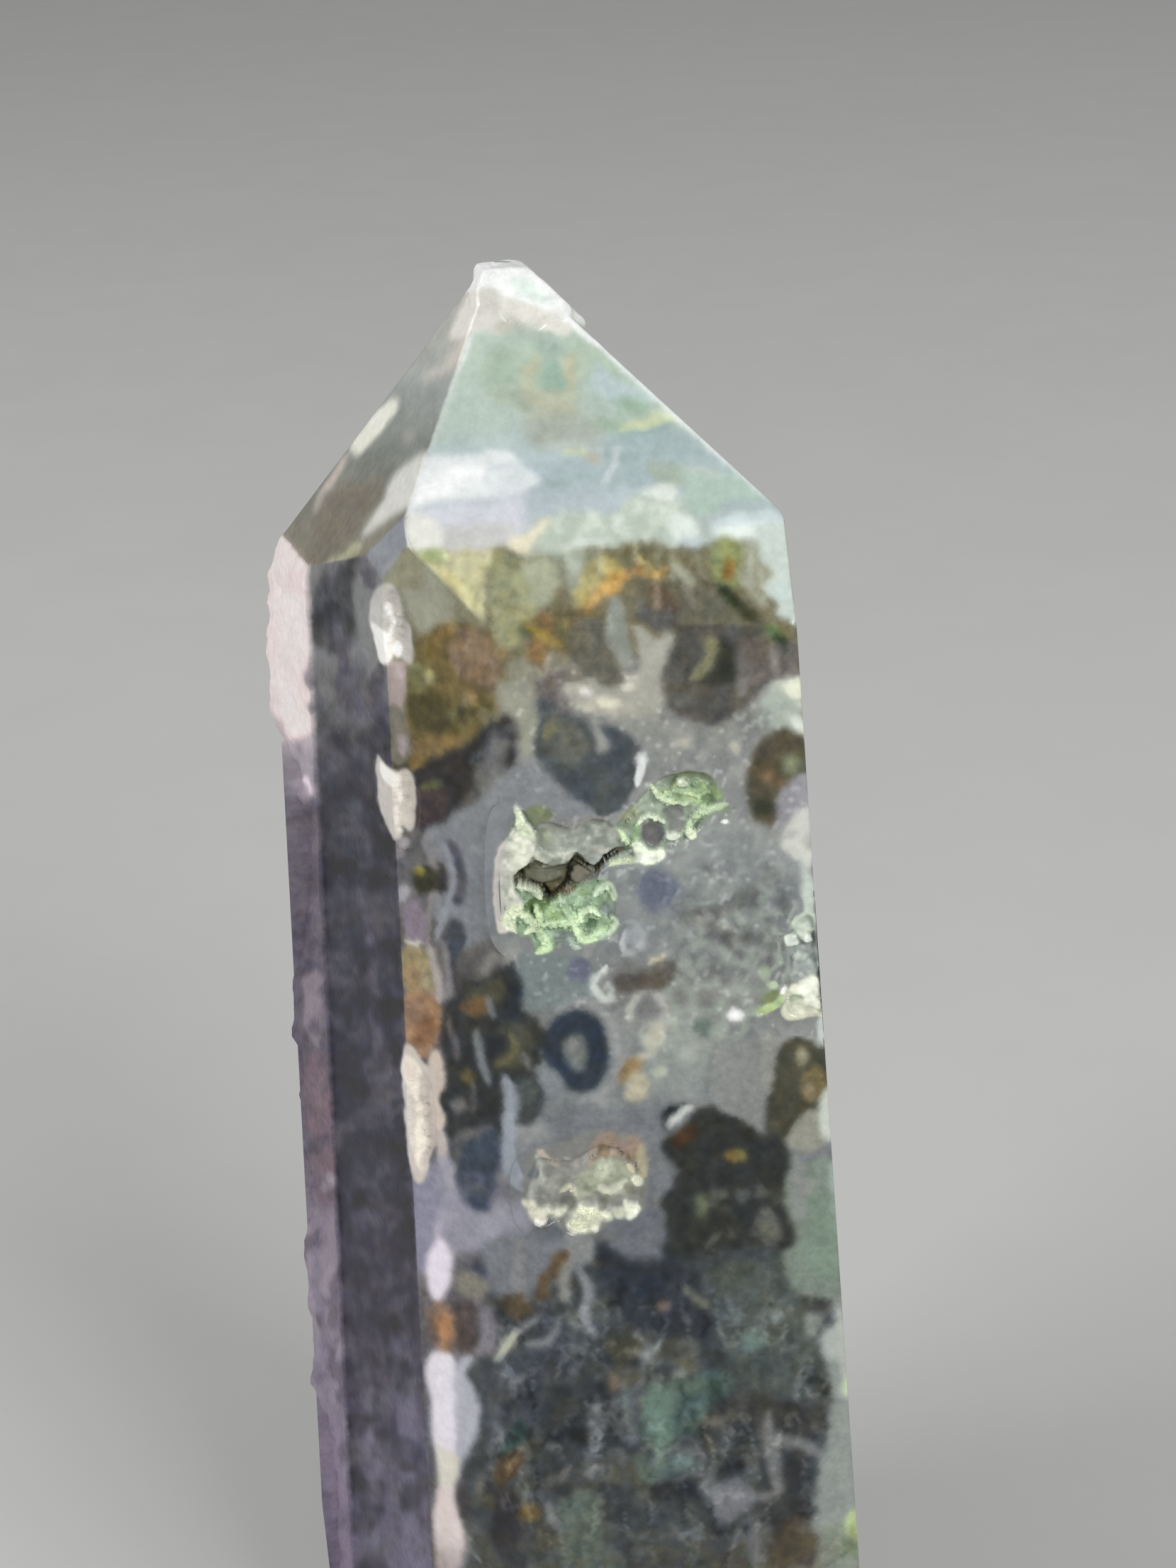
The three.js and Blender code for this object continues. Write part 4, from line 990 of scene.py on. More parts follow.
FRONT_MARKS = [
    blotches((160,158,150), 34, 0.3, (700,980, 1130,990, 1160,1560, 720,1700), 31, 30, 0.5),
    blotches((114,114,112), 36, 0.3, (700,1000, 1130,1000, 1160,1560, 720,1700), 32, 30, 0.5),
    patch((152,150,132), (704,964, 724,966, 744,990, 754,1014, 757,1044, 751,1066, 738,1062, 728,1036, 714,1004),
        12, 0.7),
    patch((108,100,94), (752,958, 800,950, 808,970, 804,1008, 772,1002, 756,984), 14),
    stroke((136,130,124), 8, (786,960, 790,980, 790,1006), 8),
    patch((132,132,132), (640,1170, 700,1110, 750,1072, 790,1112, 850,1156, 800,1180, 740,1200, 690,1200), 20),
    patch((168,165,152), (896,884, 922,902, 944,884, 954,906, 944,932, 934,958, 936,1000, 900,1012, 850,1008,
        806,994, 808,962, 842,966, 880,960, 902,936), 11, 0.8),
    blotches((208,204,186), 9, 0.18, (806,956, 930,950, 940,1010, 880,1016, 806,1000), 35, 10, 0.8),
    bubbles((160,170,152), 34, (980,1280, 1100,1270, 1126,1340, 1090,1420, 1000,1500, 930,1500, 900,1440, 940,1380),
        51, 30, 0.7),
    bubbles((152,160,148), 26, (860,1180, 1000,1160, 1090,1200, 1080,1290, 980,1300, 880,1270), 52, 30, 0.45),
    spot((252,252,248), (829,976), (8,6), 6, ragged=0.3),
    spot((228,226,204), (858,992), (15,10), 9),
    spot((224,222,204), (887,967), (10,9), 8),
    patch((78,81,81), (758,984, 776,1000, 802,1010, 828,1014, 840,1034, 846,1060, 852,1062, 850,1026, 872,1030,
        896,1050, 914,1064, 902,1076, 894,1100, 884,1122, 868,1144, 848,1154, 828,1140, 800,1116, 774,1092, 760,1066,
        753,1038), 15, 0.8),
    patch((96,95,86), (766,1006, 800,1014, 830,1030, 834,1064, 812,1086, 780,1070, 764,1040), 22),
    spot((122,116,86), (772,1030), (11,10), 12),
    stroke((162,160,152), 9, (840,1012, 846,1034, 854,1060), 7, 0.5),
    patch((220,224,222), (904,1062, 915,1068, 908,1088, 899,1108, 893,1104, 896,1084), 7, 0.4),
    patch((86,82,74), (942,934, 952,906, 964,880, 1000,872, 1040,884, 1076,908, 1086,930, 1078,964, 1058,990,
        1030,1010, 1000,1022, 966,1014, 946,998, 936,970), 15, 0.8),
    patch((106,98,90), (1046,900, 1086,916, 1082,950, 1060,976, 1044,950), 16),
    patch((56,55,46), (1008,904, 1028,912, 1042,944, 1028,964, 996,970, 984,960, 1008,944, 1010,922), 13),
    patch((134,130,96), (994,902, 1010,906, 1006,930, 996,952, 974,962, 980,942, 994,926), 11),
    spot((104,102,96), (962,986), (18,12), 14),
    spot((128,124,116), (1046,968), (8,16), 10),
    patch((106,98,92), (1084,914, 1126,908, 1130,952, 1086,958), 14),
    stroke((146,138,126), 12, (1086,916, 1092,936, 1094,952), 10),
    stroke((92,112,70), 16, (1076,890, 1092,898, 1106,904), 10),
    stroke((54,60,42), 11, (1088,904, 1100,904, 1112,918), 7),
    patch((172,180,168), (1088,960, 1130,952, 1136,1000, 1138,1040, 1110,1028, 1080,1024, 1070,1000), 14),
    patch((230,232,210), (1092,958, 1106,962, 1130,956, 1134,984, 1116,986, 1102,972), 8, 0.7),
    patch((226,234,222), (1112,1012, 1132,1010, 1140,1036, 1130,1034, 1120,1022), 7, 0.4),
    spot((142,146,136), (1076,1012), (14,10), 12),
    spot((190,186,168), (965,1046), (9,6), 7),
    spot((192,190,174), (1034,1052), (8,8), 7),
    patch((84,76,58), (1062,1060, 1076,1042, 1094,1034, 1112,1024, 1138,1034, 1140,1084, 1114,1098, 1102,1116,
        1096,1140, 1092,1168, 1070,1166, 1054,1148, 1050,1118), 13),
    spot((118,98,74), (1084,1094), (11,13), 11),
    spot((106,88,66), (1102,1104), (15,9), 10),
    spot((116,120,90), (1120,1076), (16,15), 12),
    spot((62,62,48), (1074,1142), (15,13), 12),
    patch((150,147,149), (1102,1112, 1140,1088, 1144,1134, 1128,1140, 1112,1156, 1094,1168, 1094,1140), 10, 0.6),
    patch((206,208,200), (1110,1156, 1120,1142, 1144,1142, 1150,1180, 1150,1222, 1130,1220, 1112,1208, 1104,1196,
        1108,1176), 9, 0.7),
    blotches((150,146,138), 10, 0.2, (1100,1180, 1146,1180, 1146,1216, 1110,1216), 36, 8, 0.6),
    stroke((198,208,198), 15, (1138,1220, 1142,1262, 1144,1300), 10),
    # Painted shadow: a soft purple-blue pool of shade.
    spot((104,108,120), (930,1258), (28,32), 30),
    stroke((158,150,132), 7, (980,1304, 1010,1308, 1040,1302), 7, 1.4),
    spot((104,98,92), (1008,1288), (26,9), 12),
    spot((100,98,94), (1030,1322), (34,10), 14),
    blotches((92,90,86), 16, 0.26, (960,1230, 1100,1230, 1100,1380, 960,1380), 36, 24, 0.6),
    blotches((160,162,154), 12, 0.2, (960,1200, 1110,1200, 1110,1420, 940,1440), 37, 24, 0.7),
    patch((94,87,78), (866,1372, 900,1376, 930,1360, 952,1348, 956,1372, 930,1392, 884,1398, 862,1392), 12),
    stroke((176,166,140), 9, (918,1358, 930,1352, 940,1344), 5),
    stroke((182,184,186), 8, (882,1314, 878,1330, 884,1342, 898,1348), 5, 0.3),
    spot((150,152,152), (896,1322), (14,14), 9),
    # Painted highlight: a small bright spot on the ring.
    spot((210,210,212), (905,1335), (8,6), 4, ragged=0.3),
    patch((120,128,124), (740,1350, 830,1346, 840,1400, 800,1420, 750,1420), 18),
    spot((106,106,118), (818,1366), (18,20), 16),
    patch((54,59,66), (764,1480, 768,1462, 782,1438, 804,1427, 828,1428, 848,1444, 858,1470, 859,1500, 850,1524,
        832,1539, 808,1539, 796,1528, 776,1510), 6, 0.15),
    stroke((150,148,146), 12, (786,1424, 816,1412, 846,1424, 866,1452, 872,1490, 866,1524, 846,1546, 816,1554), 10,
        0.2),
    patch((108,111,106), (804,1462, 818,1460, 828,1476, 828,1500, 818,1514, 806,1506, 796,1486, 796,1472), 9, 0.3),
    spot((134,132,126), (808,1474), (8,10), 8, ragged=0.3),
    stroke((214,220,214), 10, (856,1360, 846,1374, 837,1390, 842,1403, 858,1412, 868,1404), 5, 0.4),
    stroke((206,212,208), 9, (856,1384, 862,1396, 862,1408), 5, 0.4),
    stroke((190,190,180), 9, (904,1398, 893,1414, 888,1430, 893,1442), 5, 0.4),
    stroke((196,196,186), 10, (922,1400, 932,1408, 938,1418), 5, 0.4),
    spot((120,118,114), (915,1424), (17,16), 9, ragged=0.4),
    patch((186,184,166), (918,1448, 934,1440, 940,1458, 934,1478, 920,1486, 912,1470), 8),
    stroke((166,172,164), 9, (936,1444, 960,1440, 982,1452), 7),
    spot((110,120,110), (991,1452), (12,14), 9),
    spot((202,196,180), (912,1489), (9,7), 4, ragged=0.3),
    spot((206,206,176), (931,1512), (11,8), 5, ragged=0.4),
    stroke((180,178,168), 9, (954,1502, 972,1486, 996,1474), 6),
    stroke((148,124,84), 18, (906,1496, 888,1504, 874,1524), 10),
    spot((188,178,150), (899,1530), (17,22), 9, 0.3),
    patch((150,154,146), (930,1460, 1000,1470, 990,1540, 930,1548, 912,1520), 16, strength=0.5),
    # Painted glint: a pure white point of reflected light.
    spot((255,255,255), (1038,1432), (12,9), 3, ragged=0.2),
    stroke((170,172,170), 5, (880,1304, 902,1306, 912,1324, 902,1342, 884,1344, 876,1328), 4, 0.6, 0.8),
    stroke((176,172,162), 6, (896,1408, 912,1398, 932,1406, 940,1424, 930,1442, 910,1446), 4, 0.8, 0.8),
    stroke((108,104,96), 9, (880,1356, 906,1372, 938,1360, 950,1346), 7, 1.0, 0.8),
    stroke((210,220,176), 13, (1070,1428, 1088,1420, 1102,1408, 1112,1396), 6),
    stroke((196,204,200), 12, (1156,1440, 1158,1462, 1160,1480), 8),
    patch((134,134,128), (1002,1484, 1050,1462, 1090,1470, 1088,1510, 1084,1550, 1078,1590, 1050,1580, 1028,1566,
        1006,1548), 14),
    stroke((154,150,138), 18, (1090,1460, 1082,1500, 1084,1540), 9, 0.4, 0.6),
    patch((74,71,57), (1094,1492, 1106,1474, 1126,1464, 1150,1474, 1168,1484, 1176,1540, 1150,1566, 1126,1580,
        1112,1604, 1084,1600, 1086,1556, 1090,1520), 8, 0.7),
    patch((112,100,70), (1130,1520, 1150,1506, 1166,1520, 1164,1544, 1136,1552, 1126,1536), 9),
    spot((148,142,112), (1131,1492), (7,13), 6),
    spot((150,132,100), (1142,1540), (12,12), 8),
    patch((150,148,132), (1124,1580, 1150,1560, 1170,1600, 1150,1620, 1120,1610), 12),
    # Painted glint: a pale streak of reflected light near the right edge.
    patch((204,210,200), (1156,1552, 1164,1536, 1176,1540, 1178,1600, 1162,1600, 1156,1580), 7, 0.5),
    patch((55,54,49), (932,1612, 956,1598, 976,1574, 1004,1560, 1030,1574, 1056,1588, 1084,1596, 1112,1602,
        1116,1650, 1114,1700, 1120,1760, 1110,1810, 1000,1810, 940,1800, 934,1760, 938,1720, 934,1692, 946,1672,
        960,1652, 946,1632), 9),
    spot((120,96,52), (1034,1631), (12,8), 6),
    spot((124,120,76), (1048,1630), (8,8), 5),
    spot((74,54,34), (966,1606), (22,12), 9, -0.6),
    spot((98,102,78), (990,1702), (10,17), 10),
    patch((124,122,108), (1074,1716, 1086,1706, 1096,1726, 1094,1752, 1080,1752, 1074,1736), 8),
    blotches((92,92,84), 16, 0.26, (990,1690, 1110,1690, 1116,1830, 990,1830), 41, 24, 0.8),
    # Painted glint: a white streak of reflected light, with a near-black painted shadow above it and to its left.
    patch((36,38,38), (932,1590, 950,1560, 978,1556, 960,1580, 940,1604), 7),
    stroke((210,214,208), 12, (940,1594, 952,1580, 966,1566, 978,1558), 5, 0.4),
    patch((112,112,114), (790,1560, 870,1560, 930,1560, 940,1600, 860,1600, 790,1600), 20, strength=0.5),
    patch((110,110,112), (860,1716, 930,1700, 936,1740, 934,1800, 900,1790, 860,1760), 14),
    patch((57,56,53), (622,1430, 640,1402, 655,1385, 690,1370, 712,1358, 728,1362, 738,1390, 740,1418, 765,1438,
        777,1460, 762,1482, 766,1500, 772,1530, 770,1560, 755,1580, 730,1588, 712,1600, 700,1616, 640,1610, 628,1580,
        626,1540, 628,1490), 11),
    spot((70,72,76), (643,1325), (13,26), 10),
    stroke((60,58,60), 6, (636,1344, 640,1370, 642,1400), 5),
    patch((80,77,62), (655,1396, 690,1380, 712,1384, 710,1404, 690,1414, 662,1410), 14),
    patch((104,82,58), (652,1410, 682,1404, 692,1420, 676,1434, 656,1428), 12),
    stroke((51,53,55), 17, (722,1368, 732,1392, 728,1420, 712,1438), 9, 0.4),
    patch((73,71,60), (706,1444, 742,1440, 756,1470, 745,1502, 715,1512, 700,1480), 16),
    stroke((106,98,68), 11, (716,1460, 727,1474, 720,1492, 700,1504), 9, 0.6),
    spot((50,50,48), (695,1474), (15,18), 12),
    spot((90,80,58), (660,1521), (13,11), 10),
    stroke((98,92,92), 8, (634,1432, 640,1466, 644,1500), 6),
    spot((112,108,106), (650,1562), (11,8), 8),
    stroke((88,86,82), 9, (666,1524, 668,1550, 670,1570), 7),
    stroke((116,118,118), 9, (686,1406, 692,1422, 697,1438), 5, 0.4),
    stroke((118,120,120), 12, (671,1456, 675,1486, 684,1510, 693,1532), 6, 0.4),
    stroke((116,116,118), 8, (741,1484, 743,1496, 746,1510), 5, 0.4),
    patch((92,90,90), (640,1604, 690,1596, 684,1624, 650,1644, 634,1630), 14),
    patch((66,71,79), (664,1618, 690,1602, 706,1610, 708,1640, 694,1680, 680,1700, 660,1696, 650,1668, 652,1640),
        13),
    spot((86,87,94), (672,1668), (14,16), 12),
    patch((66,68,67), (728,1522, 752,1518, 768,1540, 772,1558, 756,1580, 732,1588, 724,1560), 9),
    spot((84,87,83), (744,1540), (15,16), 12),
    stroke((146,149,154), 20, (713,1520, 721,1550, 717,1590, 718,1636, 728,1664, 738,1680), 7, 0.4),
    patch((126,129,129), (754,1512, 768,1503, 792,1516, 800,1542, 788,1562, 770,1540), 9, 0.5),
    patch((148,144,154), (616,1640, 640,1630, 660,1690, 690,1716, 740,1700, 744,1750, 700,1766, 646,1764, 620,1720),
        20, strength=0.8),
    patch((134,134,130), (800,1746, 836,1744, 838,1770, 824,1790, 804,1800, 796,1770), 12),
    patch((70,71,69), (664,1930, 700,1810, 760,1800, 860,1780, 930,1786, 1000,1770, 1110,1760, 1150,1830, 1166,1930,
        1162,2060, 1146,2120, 1150,2330, 700,2330, 664,2120, 650,2070, 676,2000), 18),
    blotches((92,93,88), 26, 0.26, (720,1900, 1160,1840, 1160,2330, 740,2330), 45, 40, 0.7),
    blotches((50,50,50), 30, 0.26, (720,1880, 1160,1840, 1160,2330, 740,2330), 46, 40, 0.7),
    blotches((84,80,64), 30, 0.12, (720,1940, 1160,1880, 1160,2330, 740,2330), 47, 40, 0.7),
    patch((118,118,120), (690,1750, 760,1744, 800,1760, 800,1800, 720,1830, 692,1810), 22),
    stroke((132,130,126), 16, (734,1752, 730,1800, 734,1850), 12),
    stroke((140,138,130), 16, (800,1764, 796,1800, 800,1838), 9),
    stroke((138,137,138), 13, (812,1790, 828,1820, 826,1856, 834,1882), 8),
    patch((50,51,54), (838,1762, 862,1758, 894,1786, 910,1830, 880,1850, 846,1806), 14),
    patch((94,76,54), (752,1828, 766,1800, 784,1772, 796,1774, 782,1808, 768,1832), 9),
    patch((86,74,58), (704,1834, 730,1822, 742,1848, 722,1864), 12),
    patch((124,119,122), (680,1846, 700,1850, 704,1896, 672,1912, 672,1880), 16),
    patch((70,70,72), (756,1846, 780,1840, 800,1900, 810,1940, 760,1936, 740,1910), 16),
    stroke((126,126,126), 13, (727,1882, 745,1868, 762,1860), 8),
    stroke((124,124,124), 12, (742,1898, 770,1894, 784,1876, 788,1858), 8),
    stroke((192,192,172), 13, (698,1920, 714,1902, 729,1880), 6, 0.4),
    patch((76,77,80), (690,1926, 760,1914, 772,1980, 732,2020, 686,2044, 680,1990), 26),
    patch((52,70,66), (724,2008, 740,1998, 743,2030, 724,2044, 708,2050), 12),
    patch((88,71,50), (702,2060, 730,2044, 746,2056, 722,2082, 702,2088), 13),
    spot((98,82,50), (745,2136), (19,13), 12),
    spot((128,106,88), (727,2150), (6,12), 6),
    patch((54,50,50), (696,2110, 720,2100, 732,2160, 716,2200, 690,2160), 15),
    spot((104,98,90), (678,2098), (9,9), 8),
    patch((52,53,56), (870,1786, 960,1786, 1002,1850, 1000,1884, 940,1884, 884,1862), 26),
    patch((84,88,80), (1010,1790, 1110,1770, 1140,1850, 1150,1950, 1100,1970, 1040,1950, 1016,1880), 30,
        strength=0.8),
    patch((60,58,54), (1040,1976, 1120,1974, 1160,1990, 1152,2026, 1110,2026, 1060,2012), 18),
    patch((56,55,53), (1104,2062, 1140,2060, 1150,2100, 1140,2150, 1112,2134), 14),
    patch((52,51,50), (920,2094, 980,2094, 988,2112, 930,2120), 13),
    patch((58,58,58), (690,1960, 820,1960, 830,2060, 760,2090, 760,2000), 24, strength=0.6),
    patch((86,98,89), (903,1962, 935,1948, 975,1942, 1012,1946, 1010,1990, 982,2022, 950,2032, 930,2050, 910,2030,
        900,1995), 20),
    patch((104,122,110), (916,1966, 944,1958, 952,2000, 940,2034, 920,2034, 912,2000), 16),
    spot((72,88,80), (1012,1952), (24,18), 18, strength=0.6),
    patch((98,104,94), (878,1976, 900,1970, 902,2000, 884,2012), 11),
    patch((92,104,96), (895,2056, 925,2050, 980,2060, 986,2076, 930,2084, 914,2102, 895,2082), 14),
    patch((90,98,88), (800,2112, 838,2104, 850,2150, 866,2200, 870,2260, 800,2270, 790,2160), 22),
    spot((106,120,110), (1062,1892), (18,16), 14, 0.2),
    spot((132,138,132), (1090,1858), (8,10), 7),
    spot((134,136,128), (1145,1870), (13,19), 9),
    spot((128,130,124), (960,1936), (7,9), 6),
    spot((106,102,94), (1012,2008), (15,10), 9),
    spot((106,90,70), (866,1950), (7,13), 8),
    spot((108,92,84), (934,1842), (8,8), 7),
    stroke((112,112,98), 12, (964,1816, 984,1830, 996,1840), 8),
    stroke((124,126,124), 12, (906,1924, 918,1906, 928,1896), 7),
    stroke((104,105,104), 22, (842,1970, 838,2020, 840,2084), 14),
    stroke((96,97,98), 16, (898,1950, 894,2010, 888,2040), 12),
    stroke((122,120,114), 13, (778,2120, 780,2144, 784,2160), 8),
    stroke((106,104,100), 13, (808,2068, 798,2084, 790,2096), 9),
    stroke((96,96,94), 16, (986,2040, 992,2076, 988,2108), 12),
    stroke((120,118,114), 19, (1080,1992, 1085,2030, 1095,2064, 1098,2100, 1070,2110), 13),
    stroke((122,121,118), 15, (1086,2038, 1128,2040, 1162,2056), 12),
    patch((116,115,116), (1000,2096, 1030,2085, 1062,2096, 1066,2116, 1040,2140, 1010,2146, 1000,2120), 13),
    stroke((108,107,105), 22, (1062,2142, 1068,2180, 1080,2220, 1084,2330), 14),
    patch((78,68,54), (1090,2164, 1150,2150, 1160,2240, 1160,2330, 1100,2330), 20),
    patch((124,132,118), (1116,1616, 1130,1640, 1160,1630, 1184,1640, 1190,1720, 1192,1830, 1150,1830, 1120,1806,
        1108,1770, 1120,1740, 1116,1700), 12),
    patch((124,138,120), (1136,1700, 1170,1690, 1190,1730, 1186,1800, 1150,1804, 1130,1750), 16),
    stroke((140,140,134), 18, (1124,1630, 1130,1680, 1132,1720), 9),
    spot((148,148,138), (1146,1674), (7,10), 6),
    stroke((152,164,152), 12, (1174,1640, 1180,1700, 1184,1740), 9),
    patch((144,148,140), (1176,1836, 1200,1836, 1206,1900, 1212,1960, 1214,2040, 1222,2120, 1232,2330, 1156,2330,
        1152,2200, 1150,2120, 1162,2060, 1160,2030, 1174,1970, 1160,1912, 1156,1896, 1176,1880), 13),
    spot((176,180,174), (1178,1894), (20,20), 13),
    stroke((178,182,174), 11, (1182,1842, 1186,1870, 1186,1900, 1192,1950), 7, 0.5),
    spot((200,214,182), (1192,1956), (7,14), 8),
    patch((130,136,116), (1160,2160, 1200,2170, 1224,2240, 1230,2330, 1156,2330), 18, strength=0.7),
    spot((180,198,146), (1201,2156), (15,26), 11),
    spot((124,138,106), (1194,2190), (14,14), 12),
]

